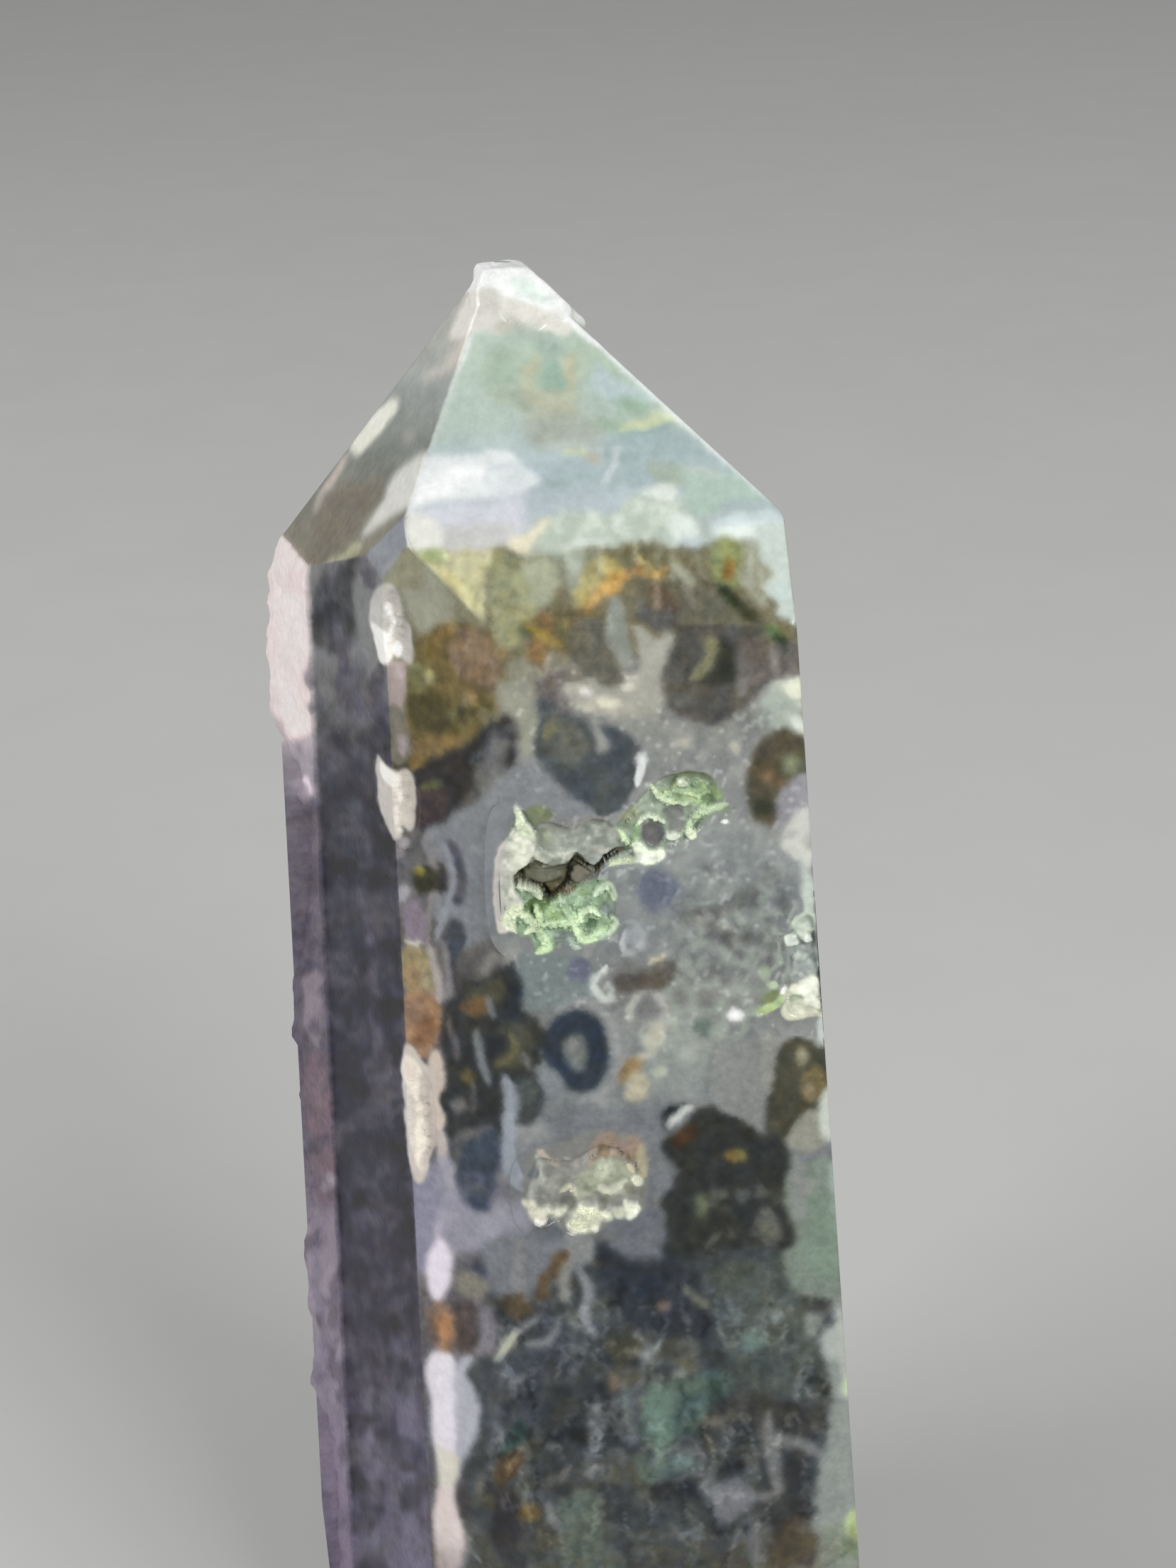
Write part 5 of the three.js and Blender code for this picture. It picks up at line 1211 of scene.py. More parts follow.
DRUZY_MARKS = [
    patch((136,143,126), (866,1166, 885,1140, 905,1118, 930,1096, 960,1088, 1004,1090, 1018,1112, 1012,1132,
        1028,1142, 990,1162, 976,1186, 950,1182, 934,1190, 930,1204, 896,1204, 880,1192), 12),
    # Painted shadow: olive shade along the top of the right green cluster.
    patch((114,120,86), (938,1102, 956,1090, 990,1092, 1002,1100, 974,1104, 954,1108), 7),
    patch((150,170,124), (925,1112, 950,1102, 1004,1104, 1012,1120, 995,1138, 965,1138, 935,1128), 9),
    stroke((210,224,186), 9, (916,1106, 925,1118, 936,1127, 950,1134, 966,1138), 6, 0.5),
    stroke((194,212,168), 7, (934,1118, 960,1117, 986,1126), 5, 0.5),
    spot((212,220,198), (962,1105), (9,5), 5, ragged=0.4),
    spot((102,118,80), (998,1128), (11,9), 7, ragged=0.4),
    stroke((190,210,172), 11, (1022,1133, 1002,1142, 986,1148, 972,1155), 7, 0.5),
    stroke((202,224,182), 11, (992,1139, 976,1158, 968,1176), 7, 0.5),
    spot((240,244,214), (974,1177), (9,8), 5, ragged=0.4),
    patch((106,100,100), (935,1140, 956,1139, 963,1155, 959,1175, 945,1173, 938,1156), 8, 0.5),
    patch((92,86,88), (903,1165, 915,1158, 930,1164, 937,1175, 930,1190, 915,1193, 904,1182), 8, 0.5),
    stroke((220,228,206), 7, (897,1165, 911,1151, 924,1154, 936,1162), 5, 0.4),
    stroke((202,220,178), 10, (867,1167, 876,1178, 886,1192), 6, 0.5),
    stroke((140,166,108), 9, (893,1160, 895,1176, 888,1190), 7, 0.5),
    spot((150,150,120), (888,1146), (17,10), 9, -0.6),
    spot((218,220,210), (948,1180), (10,6), 5, ragged=0.4),
    patch((240,246,226), (889,1192, 902,1185, 913,1198, 934,1197, 938,1208, 925,1219, 908,1221, 896,1207), 6, 0.5),
    spot((254,255,248), (912,1210), (15,7), 6, ragged=0.4),
    stroke((218,228,192), 9, (861,1220, 878,1214, 897,1214), 6, 0.4),
    # Painted shadow: a thin dark green line of shade.
    stroke((92,106,76), 7, (856,1206, 872,1199, 888,1197), 5, 0.4),
    spot((240,248,240), (1022,1160), (6,4), 4, ragged=0.3),
    # Painted shadow: olive-green shade between the cream rim and the grey shelf.
    patch((118,124,92), (742,1144, 760,1138, 780,1147, 770,1159, 752,1168, 745,1160), 9, 0.6),
    patch((139,135,129), (757,1166, 800,1154, 850,1154, 871,1174, 873,1200, 850,1206, 832,1216, 800,1217, 762,1212),
        11, 0.5),
    # Painted shade on the left of the grey shelf.
    spot((130,126,108), (769,1181), (11,14), 12),
    spot((182,178,166), (766,1208), (15,8), 7),
    spot((178,174,164), (801,1207), (16,7), 7),
    spot((164,152,146), (846,1198), (12,6), 7),
    patch((212,208,198), (727,1136, 735,1141, 739,1155, 748,1166, 757,1188, 754,1204, 742,1218, 729,1231, 724,1246,
        728,1262, 736,1272, 742,1284, 738,1300, 720,1313, 704,1317, 697,1300, 695,1268, 697,1238, 699,1214, 706,1194,
        716,1180, 725,1164, 725,1150), 8, 0.4),
    patch((194,188,184), (700,1214, 712,1198, 718,1230, 712,1290, 700,1298, 696,1260), 12, 0.4),
    patch((240,246,218), (727,1138, 735,1142, 742,1162, 753,1178, 753,1188, 740,1182, 728,1166, 726,1150), 6, 0.4),
    patch((234,240,208), (708,1296, 726,1276, 740,1284, 742,1300, 734,1312, 718,1313), 9, 0.5),
    # The opening's dark is partly its own dark olive-brown druzy and partly painted shade of the deep hole.
    patch((86,82,63), (723,1240, 732,1228, 742,1220, 757,1214, 776,1220, 800,1219, 811,1204, 822,1211, 838,1222,
        847,1213, 858,1203, 876,1194, 880,1201, 862,1211, 850,1223, 840,1237, 820,1246, 804,1262, 788,1269, 775,1277,
        766,1270, 757,1258, 741,1251, 727,1248), 5, 0.3),
    spot((110,106,87), (764,1232), (29,13), 7, ragged=0.5),
    spot((117,112,96), (821,1230), (17,14), 6, ragged=0.5),
    spot((104,95,76), (796,1256), (14,10), 9),
    # Painted shadow: the near-black lines and spot inside the opening.
    stroke((42,37,22), 8, (727,1240, 744,1242, 764,1250, 778,1262, 792,1252, 802,1238, 806,1220), 7, 0.4),
    stroke((48,43,28), 5, (812,1214, 824,1219, 838,1228), 4, 0.4),
    stroke((40,36,22), 6, (847,1216, 856,1207, 868,1200), 4, 0.4),
    spot((36,31,18), (772,1267), (9,8), 6, ragged=0.4),
    patch((137,157,122), (728,1252, 744,1252, 768,1272, 800,1267, 822,1250, 846,1238, 866,1248, 872,1270, 850,1284,
        868,1296, 866,1318, 822,1330, 792,1314, 781,1320, 779,1338, 758,1349, 751,1326, 735,1320, 726,1300, 742,1284),
        8, 0.5),
    patch((88,110,66), (738,1280, 752,1269, 768,1271, 781,1278, 765,1289, 744,1291), 7, 0.5),
    spot((140,168,115), (790,1290), (26,9), 9),
    spot((112,134,96), (826,1256), (15,12), 10, -0.6),
    stroke((210,218,194), 11, (728,1252, 742,1254, 756,1261, 765,1272), 6, 0.4),
    stroke((236,248,208), 12, (736,1290, 748,1299, 755,1309, 742,1317), 6, 0.4),
    stroke((214,236,186), 9, (754,1281, 760,1293, 758,1304), 6, 0.4),
    stroke((206,230,182), 12, (794,1271, 801,1284, 806,1297, 796,1301, 781,1302, 765,1307), 7, 0.4),
    stroke((222,242,202), 9, (802,1301, 813,1299, 822,1290, 836,1287, 843,1295), 5, 0.4),
    stroke((214,238,192), 11, (806,1304, 815,1316, 823,1324, 840,1320, 853,1311), 6, 0.4),
    stroke((204,222,194), 12, (839,1268, 846,1256, 858,1250, 867,1262, 867,1272), 7, 0.4),
    stroke((196,212,188), 8, (862,1294, 867,1305, 857,1317, 842,1323), 6, 0.4),
    stroke((198,220,174), 12, (758,1310, 764,1325, 769,1336, 758,1346), 6, 0.4),
    stroke((172,188,168), 6, (800,1318, 808,1332, 819,1335), 5, 0.4),
    spot((88,108,80), (832,1304), (10,6), 4, ragged=0.3),
    spot((112,118,117), (790,1319), (17,9), 7),
    spot((104,110,111), (854,1287), (10,9), 7),
    patch((127,125,118), (736,1640, 754,1628, 830,1602, 860,1590, 902,1608, 914,1650, 910,1690, 900,1712, 860,1706,
        846,1742, 800,1746, 780,1726, 750,1722, 734,1706), 12),
    patch((152,132,114), (838,1606, 858,1592, 872,1604, 902,1608, 907,1632, 870,1640, 846,1646, 825,1640), 12),
    spot((128,102,68), (850,1628), (10,13), 10),
    stroke((182,168,154), 10, (760,1626, 774,1640, 787,1644), 8),
    stroke((158,152,148), 9, (793,1638, 808,1642, 824,1634), 8),
    patch((141,145,122), (814,1656, 846,1640, 882,1645, 892,1670, 850,1674, 820,1691), 12),
    spot((176,182,160), (852,1652), (13,12), 10),
    stroke((182,172,142), 15, (905,1620, 910,1640, 908,1660), 9),
    stroke((200,188,164), 13, (886,1643, 899,1651), 8),
    spot((228,232,208), (901,1665), (9,8), 6),
    stroke((168,170,162), 10, (758,1632, 757,1655, 758,1668, 748,1680, 746,1692), 8),
    spot((100,104,110), (748,1658), (8,9), 7),
    stroke((194,188,164), 9, (790,1681, 803,1674, 815,1685), 6),
    spot((96,96,88), (800,1695), (13,12), 8, ragged=0.5),
    stroke((194,196,176), 13, (846,1672, 857,1682, 870,1677, 885,1668), 8),
    spot((100,100,88), (855,1692), (9,6), 6, ragged=0.5),
    spot((118,116,96), (887,1677), (7,7), 6, ragged=0.5),
    patch((220,221,201), (734,1706, 744,1694, 756,1705, 770,1697, 782,1708, 794,1700, 800,1712, 792,1722, 776,1718,
        772,1731, 762,1733, 750,1722), 11, 1.3),
    spot((248,244,230), (764,1722), (10,8), 5),
    patch((228,232,208), (806,1708, 818,1696, 832,1706, 846,1698, 860,1706, 858,1714, 846,1720, 839,1738, 812,1743,
        806,1728), 11, 1.3),
    spot((248,252,222), (832,1710), (21,7), 6),
    spot((238,242,212), (818,1732), (15,7), 6),
    patch((228,232,214), (880,1691, 893,1693, 903,1702, 896,1715, 884,1713), 6, 0.6),
    spot((198,202,182), (874,1708), (10,7), 6),
    patch((202,214,198), (1119,1302, 1130,1289, 1150,1286, 1156,1306, 1146,1322, 1128,1320), 8),
    spot((240,252,242), (1144,1323), (7,7), 5),
    spot((242,253,240), (1118,1330), (10,12), 6),
    patch((138,143,138), (1112,1344, 1140,1330, 1158,1345, 1162,1370, 1122,1376, 1106,1360), 9),
    spot((180,190,180), (1128,1354), (8,7), 6),
    patch((214,214,192), (1112,1396, 1132,1384, 1148,1374, 1166,1384, 1172,1434, 1150,1438, 1118,1434, 1108,1424,
        1112,1410), 9),
    patch((250,252,234), (1130,1392, 1146,1378, 1160,1388, 1166,1425, 1140,1420, 1134,1406), 7, 0.6),
    spot((148,156,128), (1124,1409), (10,5), 5),
    stroke((252,255,248), 8, (1109,1391, 1105,1402), 4, 0.3),
    stroke((180,200,144), 14, (1070,1424, 1088,1420, 1100,1410, 1107,1402), 8),
    spot((128,138,98), (1088,1404), (16,8), 9, -0.5),
    spot((164,174,150), (1078,1370), (10,8), 7),
    spot((180,194,164), (1092,1386), (9,7), 6),
]

TIP_MARKS = [
    patch((250,252,250), (640,340, 880,340, 860,480, 830,484, 806,462, 780,446, 740,431, 712,420, 700,408, 680,409,
        640,404), 8, 0.4),
    patch((234,246,238), (722,396, 740,392, 772,420, 778,432, 752,424, 730,412), 10, 0.4),
    patch((232,230,220), (698,412, 720,422, 780,444, 806,462, 800,474, 760,467, 722,459, 698,444), 8, 0.4),
    patch((218,216,208), (664,412, 700,410, 706,450, 702,472, 680,464, 636,478, 644,446), 12, 0.4),
    # Painted shadow: grey shade under the proud band of skin where it meets the front facet, as a spot and a line.
    spot((198,198,184), (716,463), (18,8), 10),
    stroke((178,192,180), 9, (724,468, 752,474, 790,481), 8, 0.4),
]

ALL_MARKS = (
    ("front facet", FRONT_FACET_MARKS + BAND_MARKS),
    ("left facet", LEFT_FACET_MARKS),
    ("shoulder facet", []),
    ("left face", LEFT_FACE_MARKS + CHIP_MARKS),
    ("raw side", RAW_SIDE_MARKS),
    ("front bevel", BEVEL_MARKS + FRONT_MARKS + CHIP_MARKS),
    ("front", BAND_MARKS + BEVEL_MARKS + FRONT_MARKS + DRUZY_MARKS),
)
CAP_ROW = 500  # the tip's own marks are above this row of the photograph
GREY = 120.0  # what a place is before it is painted

FOLD_FROM, FOLD_REACH = 0.8, 4.0  # behind an edge, where the marks begin to fade on a hidden face, and end
FOLD_WAVE, FOLD_SEED, FOLD_HEIGHT = 1.6, 71, 0.8  # waviness of that border
LILAC_FACES = ("left face", "raw side")  # they are painted down to the bottom
FROST = (246, 248, 246)
BLUR_ROUNDS = 1  # the marks are softened this often
SHARPENED = 0.45  # how much sharper the marks' borders are on the upper front
SHARP_FROM, SHARP_TO = (760, 850), (1720, 1600)  # rows between which they are
THINNER = 0.6  # how much narrower a stroke is at its ends
WAVE_REACH = 16  # no wave moves a border further
FINER_BLOTCH = 2.3  # how much smaller the lumps on the blotches' lumps are
BLOTCH_LEVEL = 0.62  # of the noise, at which next to nothing is covered
BLOTCH_FROM, BLOTCH_TO = 0.2, 0.3  # how far a blotch's border reaches below its level and above it
BUBBLE_WALL = (0.34, 0.06)  # where a wall begins and where it is full, in cells from its middle
DARKEST, BRIGHTEST = 0.004, 0.95  # base colours

# The grain of the colours, whose brightness runs from 0 to 255; places are rows and columns of the photograph
MOSSY_BRIGHT, MOSSY_VIVID = (128, 88), (20, 44)  # as dark or as vivid as the second is mossy
PALE_BRIGHT, CLEAR_BRIGHT, COOL_BRIGHT, WISP_BRIGHT = (215, 175), (168, 200), (190, 150), (150, 120)
DRIPS_ABOVE, DRIPS_BELOW = (1010, 940), (1720, 1800)
WISPS_BELOW, WISPS_RIGHT = (1770, 1880), (660, 720)  # wisps of the lower front
SPECKS_BELOW, SPECKS_ABOVE, SPECKS_RIGHT = (900, 960), (1560, 1400), (690, 730)
SPECK = 30  # how much brighter a speck is
WARM_CAST = np.array([4.0, 1.0, -5.0])
# Layers of noise: size, seed and height
GRAINS, CLOUDS = ((13, 85, 1), (6.5, 86, 0.8)), ((26, 87, 1), (10, 88, 0.8))
HUES = ((19, 89, 1), (8, 90, 0.5))
DRIP, DRIP_SQUEEZE = (9, 84), (1, 0.3)  # drips are longer than wide
SPECKS, SPECK_LEVEL = (8, 91), (0.5, 0.85)
GROUND_TONES = ((55, 81, 5), (21, 82, 4), (9, 83, 2.5))
GRAIN_STRENGTH, CLOUD_STRENGTH = 0.1, 0.035  # share of the brightness
CLEARED = 0.6  # how much fainter the clouds are where it is clear
GROUND_CAST = np.array([1.0, 0.97, 0.9])
WISPS = ((30, 101, 30), (22, 103, 24), (34, 105, -18))  # size, seed and change of brightness
COOL_CAST = np.array([0.0, 3.0, 6.0])  # of the dark and middling places
# How a face shows its base colour in the studio, polished and matte: the share that is seen and the shine over it
FACE_LIGHT = {
    "front facet": ((1.18, 0.012), (1.09, 0.025)),
    "left facet": ((0.725, 0.067), (0.78, 0.03)),
    "shoulder facet": ((0.85, 0.05), (0.85, 0.03)),
    "left face": ((0.76, 0.078), (0.78, 0.03)),
    "raw side": ((0.77, 0.033), (0.77, 0.033)),
    "front bevel": ((0.975, 0.028), (0.84, 0.021)),
    "front": ((1.085, 0.022), (0.955, 0.027)),
}
CRUST_LIGHT = ((1.1, 0.0225), (0.89, 0.029))
FACE_GREY = {"left face": 0.4, "raw side": 0.3}  # how far the base colours of the shaded faces go towards grey

# Waviness of the marks' outlines: size of the waves and how far they move a border, in pixels
WAVES = ((42, 7), (17, 4), (8, 2.2))


def photo_place(points):
    """Where points of the stone are in the photograph, in pixels."""
    right, up, forward = camera_axes()
    away = points - CAMERA_PLACE
    depth = away @ forward
    return np.stack(
        [PHOTO_WIDTH / 2 + FOCAL_PIXELS * (away @ right) / depth,
         PHOTO_HEIGHT / 2 - FOCAL_PIXELS * (away @ up) / depth], axis=1,
    )


def camera_axes():
    """The camera's right, up and forward directions."""
    pitch, roll = math.radians(CAMERA_PITCH), math.radians(CAMERA_ROLL)
    forward = np.array([0, math.cos(pitch), -math.sin(pitch)])
    level = np.array([1.0, 0, 0])
    raised = np.cross(level, forward)
    right = math.cos(roll) * level - math.sin(roll) * raised
    up = math.sin(roll) * level + math.cos(roll) * raised
    return right, up, forward


def mark_weight(mark, places):
    """How much of a mark there is at each place, from 0 to 1."""
    if mark["kind"] == "spot":
        turn = mark["turn"]
        away = places - mark["centre"]
        x = away[:, 0] * math.cos(turn) + away[:, 1] * math.sin(turn)
        y = away[:, 1] * math.cos(turn) - away[:, 0] * math.sin(turn)
        radii = mark["radii"]
        depth = (1 - np.hypot(x / radii[0], y / radii[1])) * min(radii)
    elif mark["kind"] == "stroke":
        line = smooth_line(mark["line"], False)
        gap, along = distance_to_line(places, line, False)
        depth = mark["width"] / 2 * (1 - THINNER * (2 * along - 1) ** 4) - gap
    else:
        line = smooth_line(mark["line"], True)
        depth = outline_depth(places, line)
    upper = smoothstep(*SHARP_FROM, places[:, 1]) * smoothstep(*SHARP_TO, places[:, 1])
    soft = mark["soft"] / 2 * (1 - SHARPENED * upper)
    weight = smoothstep(-soft, soft, depth)
    if mark["kind"] == "blotches":
        size, seed = mark["size"], mark["seed"]
        lump = layered(places, ((size, seed, 1), (size / FINER_BLOTCH, seed + 1, 0.5)))
        level = BLOTCH_LEVEL * (1 - 2 * mark["cover"])
        weight = weight * smoothstep(level - BLOTCH_FROM, level + BLOTCH_TO, lump)
    if mark["kind"] == "bubbles":
        weight = weight * smoothstep(*BUBBLE_WALL, cell_walls(places, mark["size"], mark["seed"]))
    return weight * mark["strength"]


def mark_box(mark):
    """The corners of the part of the photograph that a mark can reach."""
    if mark["kind"] == "spot":
        reach = max(mark["radii"]) * 1.1
        low = high = np.array(mark["centre"], float)
    else:
        line = smooth_line(mark["line"], mark["kind"] != "stroke")
        low, high = line.min(0), line.max(0)
        reach = mark.get("width", 0) / 2
    margin = reach + mark["soft"] + WAVE_REACH * mark["ragged"]
    return low - margin, high + margin


def lay_marks(values, marks, places, waves, chosen):
    """Lays marks over the values of the chosen places, in order."""
    for mark in marks:
        low, high = mark_box(mark)
        near = chosen & (places > low).all(1) & (places < high).all(1)
        picks = np.flatnonzero(near)
        if len(picks) == 0:
            continue
        weight = mark_weight(mark, places[picks] + waves[picks] * mark["ragged"])[:, None]
        values[picks] += (np.atleast_1d(mark["value"]) - values[picks]) * weight


def outline_waves(places):
    """How far the waviness of outlines moves each place."""
    waves = np.zeros_like(places)
    for number, (size, height) in enumerate(WAVES):
        for axis in (0, 1):
            waves[:, axis] += noise(places, size, 60 + 2 * number + axis) * height
    return waves


def ground_colour(name, places):
    rows, colours = zip(*GROUNDS[name])
    colours = np.array(colours, float)
    return np.stack([np.interp(places[:, 1], rows, colours[:, channel]) for channel in range(3)], axis=1)


def linear_colour(colours):
    """Display colours from 0 to 255 as linear ones from 0 to 1."""
    part = np.clip(np.asarray(colours, float) / 255, 0, 1)
    return np.where(part <= 0.04045, part / 12.92, ((part + 0.055) / 1.055) ** 2.4)


def folded_points(points, hidden, seen):
    """Points of a hidden face turned over their shared edge onto the seen face."""
    (a, reach_a), (b, reach_b) = PLANES[hidden], PLANES[seen]
    normal = a - b
    gap = points @ normal - (reach_a - reach_b)
    return points - 2 * gap[:, None] * normal / (normal @ normal)


def paint(points, faces, on_face, matte):
    """Each point's base colour, and how much of it is painted rather than wild."""
    colours = np.full((len(points), 3), GREY)
    painted = np.zeros(len(points))
    shown_by = np.full(len(points), -1)
    for name, marks in ALL_MARKS:
        lay_face(colours, painted, points, on_face[name], name, marks)
        shown_by[on_face[name]] = SEEN_FACES.index(name)
    for hidden, seen in FOLDED_FROM.items():
        turned = folded_points(points, hidden, seen)
        chosen = on_face[hidden] & (painted == 0)
        lay_face(colours, painted, turned, chosen, seen, dict(ALL_MARKS)[seen])
        shown_by[chosen] = SEEN_FACES.index(seen)
        behind = PLANES[seen][1] - points @ PLANES[seen][0]
        wave = noise(points, FOLD_WAVE, FOLD_SEED) * FOLD_HEIGHT
        fade = 1 - smoothstep(FOLD_FROM, FOLD_REACH, behind + wave)
        painted[chosen] = np.minimum(painted, fade)[chosen]
    frosted = (points[:, 2] > CAP_LOWEST) & (matte > 0.5) & ((shown_by < 0) | (painted < 1))
    colours[frosted], painted[frosted] = FROST, 1
    colours = relaxed(colours, faces, painted > 0, BLUR_ROUNDS)
    add_grain(colours, photo_place(points))
    for number, name in enumerate(SEEN_FACES):
        chosen = shown_by == number
        base = base_colour(colours[chosen], FACE_LIGHT[name], matte[chosen])
        colours[chosen] = base + (base.mean(axis=1, keepdims=True) - base) * FACE_GREY.get(name, 0)
    hidden = shown_by < 0
    colours[hidden] = linear_colour(colours[hidden])
    return colours, painted


def add_grain(colours, places):
    """Mottles the colours: grains and drips where they are mossy, clouds and pale specks where they are grey."""
    bright = colours.mean(axis=1)
    vivid = np.ptp(colours, axis=1) * smoothstep(*PALE_BRIGHT, bright)
    mossy = np.maximum(smoothstep(*MOSSY_BRIGHT, bright), smoothstep(*MOSSY_VIVID, vivid))
    clear = smoothstep(*CLEAR_BRIGHT, bright)
    grains = layered(places, GRAINS)
    rows = places[:, 1]
    dripping = np.maximum(smoothstep(*DRIPS_ABOVE, rows), smoothstep(*DRIPS_BELOW, rows))
    drips = noise(places * DRIP_SQUEEZE, *DRIP) * dripping
    clouds = layered(places, CLOUDS)
    tone = mossy * (GRAIN_STRENGTH * grains + GRAIN_STRENGTH * drips)
    tone += (1 - mossy) * (1 - CLEARED * clear) * CLOUD_STRENGTH * clouds
    colours *= (1 + tone)[:, None]
    hue = layered(places, HUES)
    colours += (mossy * hue * np.clip(bright / 110, 0.4, 1.2))[:, None] * WARM_CAST
    colours += smoothstep(*COOL_BRIGHT, bright)[:, None] * COOL_CAST
    low = smoothstep(*WISPS_BELOW, rows) * smoothstep(*WISPS_RIGHT, places[:, 0]) * smoothstep(*WISP_BRIGHT, bright)
    for size, seed, change in WISPS:
        wander = noise(places * (1, 0.4), size, seed) + 0.3 * noise(places, size / 3, seed + 7)
        line = smoothstep(0.26, 0.0, np.abs(wander)) * smoothstep(-0.1, 0.35, noise(places, 46, seed + 1))
        colours += (low * line * change)[:, None]
    speck = smoothstep(*SPECK_LEVEL, noise(places, *SPECKS)) * (1 - mossy) * (1 - clear)
    speck *= smoothstep(*SPECKS_BELOW, rows) * smoothstep(*SPECKS_ABOVE, rows)
    colours += (SPECK * speck * smoothstep(*SPECKS_RIGHT, places[:, 0]))[:, None]
    np.clip(colours, 0, 255, out=colours)


def base_colour(colours, light, matte):
    """The linear base colours that show as display colours under a face's light."""
    (share, shine), (matte_share, matte_shine) = light
    part = matte[:, None]
    wanted = linear_colour(colours) - (shine + (matte_shine - shine) * part)
    return np.clip(wanted / (share + (matte_share - share) * part), DARKEST, BRIGHTEST)


def lay_face(colours, painted, points, chosen, name, marks, places=None):
    """Colours the chosen points as one face of the photograph."""
    if places is None:
        places = photo_place(points)
    waves = outline_waves(places)
    ground = ground_colour(name, places + waves)
    tone = layered(places, GROUND_TONES)
    ground += tone[:, None] * GROUND_CAST
    colours[chosen] = ground[chosen]
    lay_marks(colours, marks, places, waves, chosen)
    lay_marks(colours, TIP_MARKS, places, waves, chosen & (places[:, 1] < CAP_ROW))
    fade = 0 if name in LILAC_FACES else smoothstep(FADE_FROM, FADE_TO, places[:, 1] + waves[:, 1] * 4)[chosen]
    painted[chosen] = 1 - fade


# Druzy crusts

CRUST_SPACING = 0.075  # of a crust's points
CRUST_JITTER = 0.3  # how far they are off their rows, in spacings
CRUST_SEED = 11
RIM_STEPS = 24  # between the places of a hollow's outline
RIM_CLEAR = 0.6  # in spacings
CRUST_MARGIN = 0.22  # how far a crust reaches into the wall of its hollow
CRUST_FLUSH = 0.004  # level of the polished places of a crust, over its face
CRUST_FLOOR = -0.46  # the darkest of the druzy places
CRUST_RISES = {"green": 0.4, "pale": 0.24, "right": 0.34}  # how far the brightest of them stand above that
HOLE_FLOOR, HOLE_RISE = -0.98, 0.34  # the same two for the opening in the green crust
DRUZY_MIDDLES = {"green": (156, 170, 146), "pale": (152, 150, 134), "right": (168, 174, 162)}
DRUZY_CALM = 0.35  # how far the druzy's colours are drawn towards their middle
CRUMBLE = 0.1  # how much the druzy's crumbs differ in brightness
RISE_BRIGHT, HOLE_BRIGHT = (88, 226), (40, 112)  # brightness over which the two rise
CALM_BRIGHT, CRUMB_BRIGHT = (70, 110), (84, 120)  # what is darker is neither calmed nor crumbed
CRUMBS = ((13, 95, 1), (6, 96, 0.7))
LEVEL_ROUNDS = 3  # how often a crust's level is found again, from where its points then are
CRUST_UNDER, CRUST_THINNEST = 0.02, 0.1  # above the floor of the hollow, and above that
GROW_DRUZY, GROW_BRIGHT, GROW_VIVID = (0.6, 1), (120, 170), (17, 30)  # where the crystals stand
WALL_GAP = 0.03  # between the right crust and the side of the stone beyond it
CRUST_LUMPS = ((0.5, 92, 0.06), (0.2, 93, 0.03))

# Where each crust is open druzy, with 1, or a deep hole, with 2; the rest is polished
CRUST_PLACES = {
    "green": [
        patch(1, (728,1140, 740,1146, 756,1172, 762,1164, 800,1160, 850,1160, 868,1166, 888,1142, 930,1100, 962,1092,
            1002,1096, 1008,1130, 992,1158, 974,1182, 934,1200, 926,1216, 898,1218, 862,1218, 840,1240, 866,1256,
            862,1318, 820,1326, 776,1336, 758,1344, 744,1318, 712,1308, 704,1270, 706,1216), 12, 0.3),
        patch(2, (728,1240, 744,1224, 776,1224, 802,1222, 812,1210, 838,1224, 858,1206, 872,1200, 850,1222, 838,1236,
            804,1260, 776,1274, 758,1256, 740,1248), 6, 0.3),
    ],
    "pale": [
        patch(1, (744,1702, 756,1640, 800,1642, 850,1620, 898,1624, 906,1660, 898,1706, 856,1712, 838,1736, 806,1738,
            790,1718, 764,1728), 14, 0.3),
    ],
    "right": [
        patch(1, (1112,1330, 1132,1296, 1150,1300, 1156,1350, 1166,1390, 1166,1428, 1118,1428, 1110,1390), 12, 0.3),
    ],
}


def crust_sheet(name):
    """Places of a crust's points across and up the front face, with its rim's points first, and its triangles."""
    rim = smooth_line(HOLLOWS[name]["outline"], True, RIM_STEPS)
    outward = np.roll(rim, -1, axis=0) - np.roll(rim, 1, axis=0)
    outward = np.stack([outward[:, 1], -outward[:, 0]], axis=1)
    outward /= np.linalg.norm(outward, axis=1)[:, None]
    if inside(rim[:1] + outward[:1] * CRUST_MARGIN, rim)[0]:
        outward = -outward
    wide = rim + outward * CRUST_MARGIN
    passed = np.concatenate([[0], np.cumsum(np.linalg.norm(np.roll(wide, -1, axis=0) - wide, axis=1))])
    places = np.linspace(0, passed[-1], int(passed[-1] / CRUST_SPACING), endpoint=False)
    closed = np.concatenate([wide, wide[:1]])
    rim = np.stack([np.interp(places, passed, closed[:, axis]) for axis in (0, 1)], axis=1)
    inner = lattice(rim.min(0), rim.max(0), CRUST_SPACING, CRUST_JITTER, np.random.default_rng(CRUST_SEED))
    inner = inner[outline_depth(inner, rim) > CRUST_SPACING * RIM_CLEAR]
    every = np.concatenate([rim, inner])
    faces = triangles_between(every, len(rim))
    within = inside(every[np.array(faces)].mean(axis=1), rim)
    return every, len(rim), [face for face, kept in zip(faces, within) if kept]


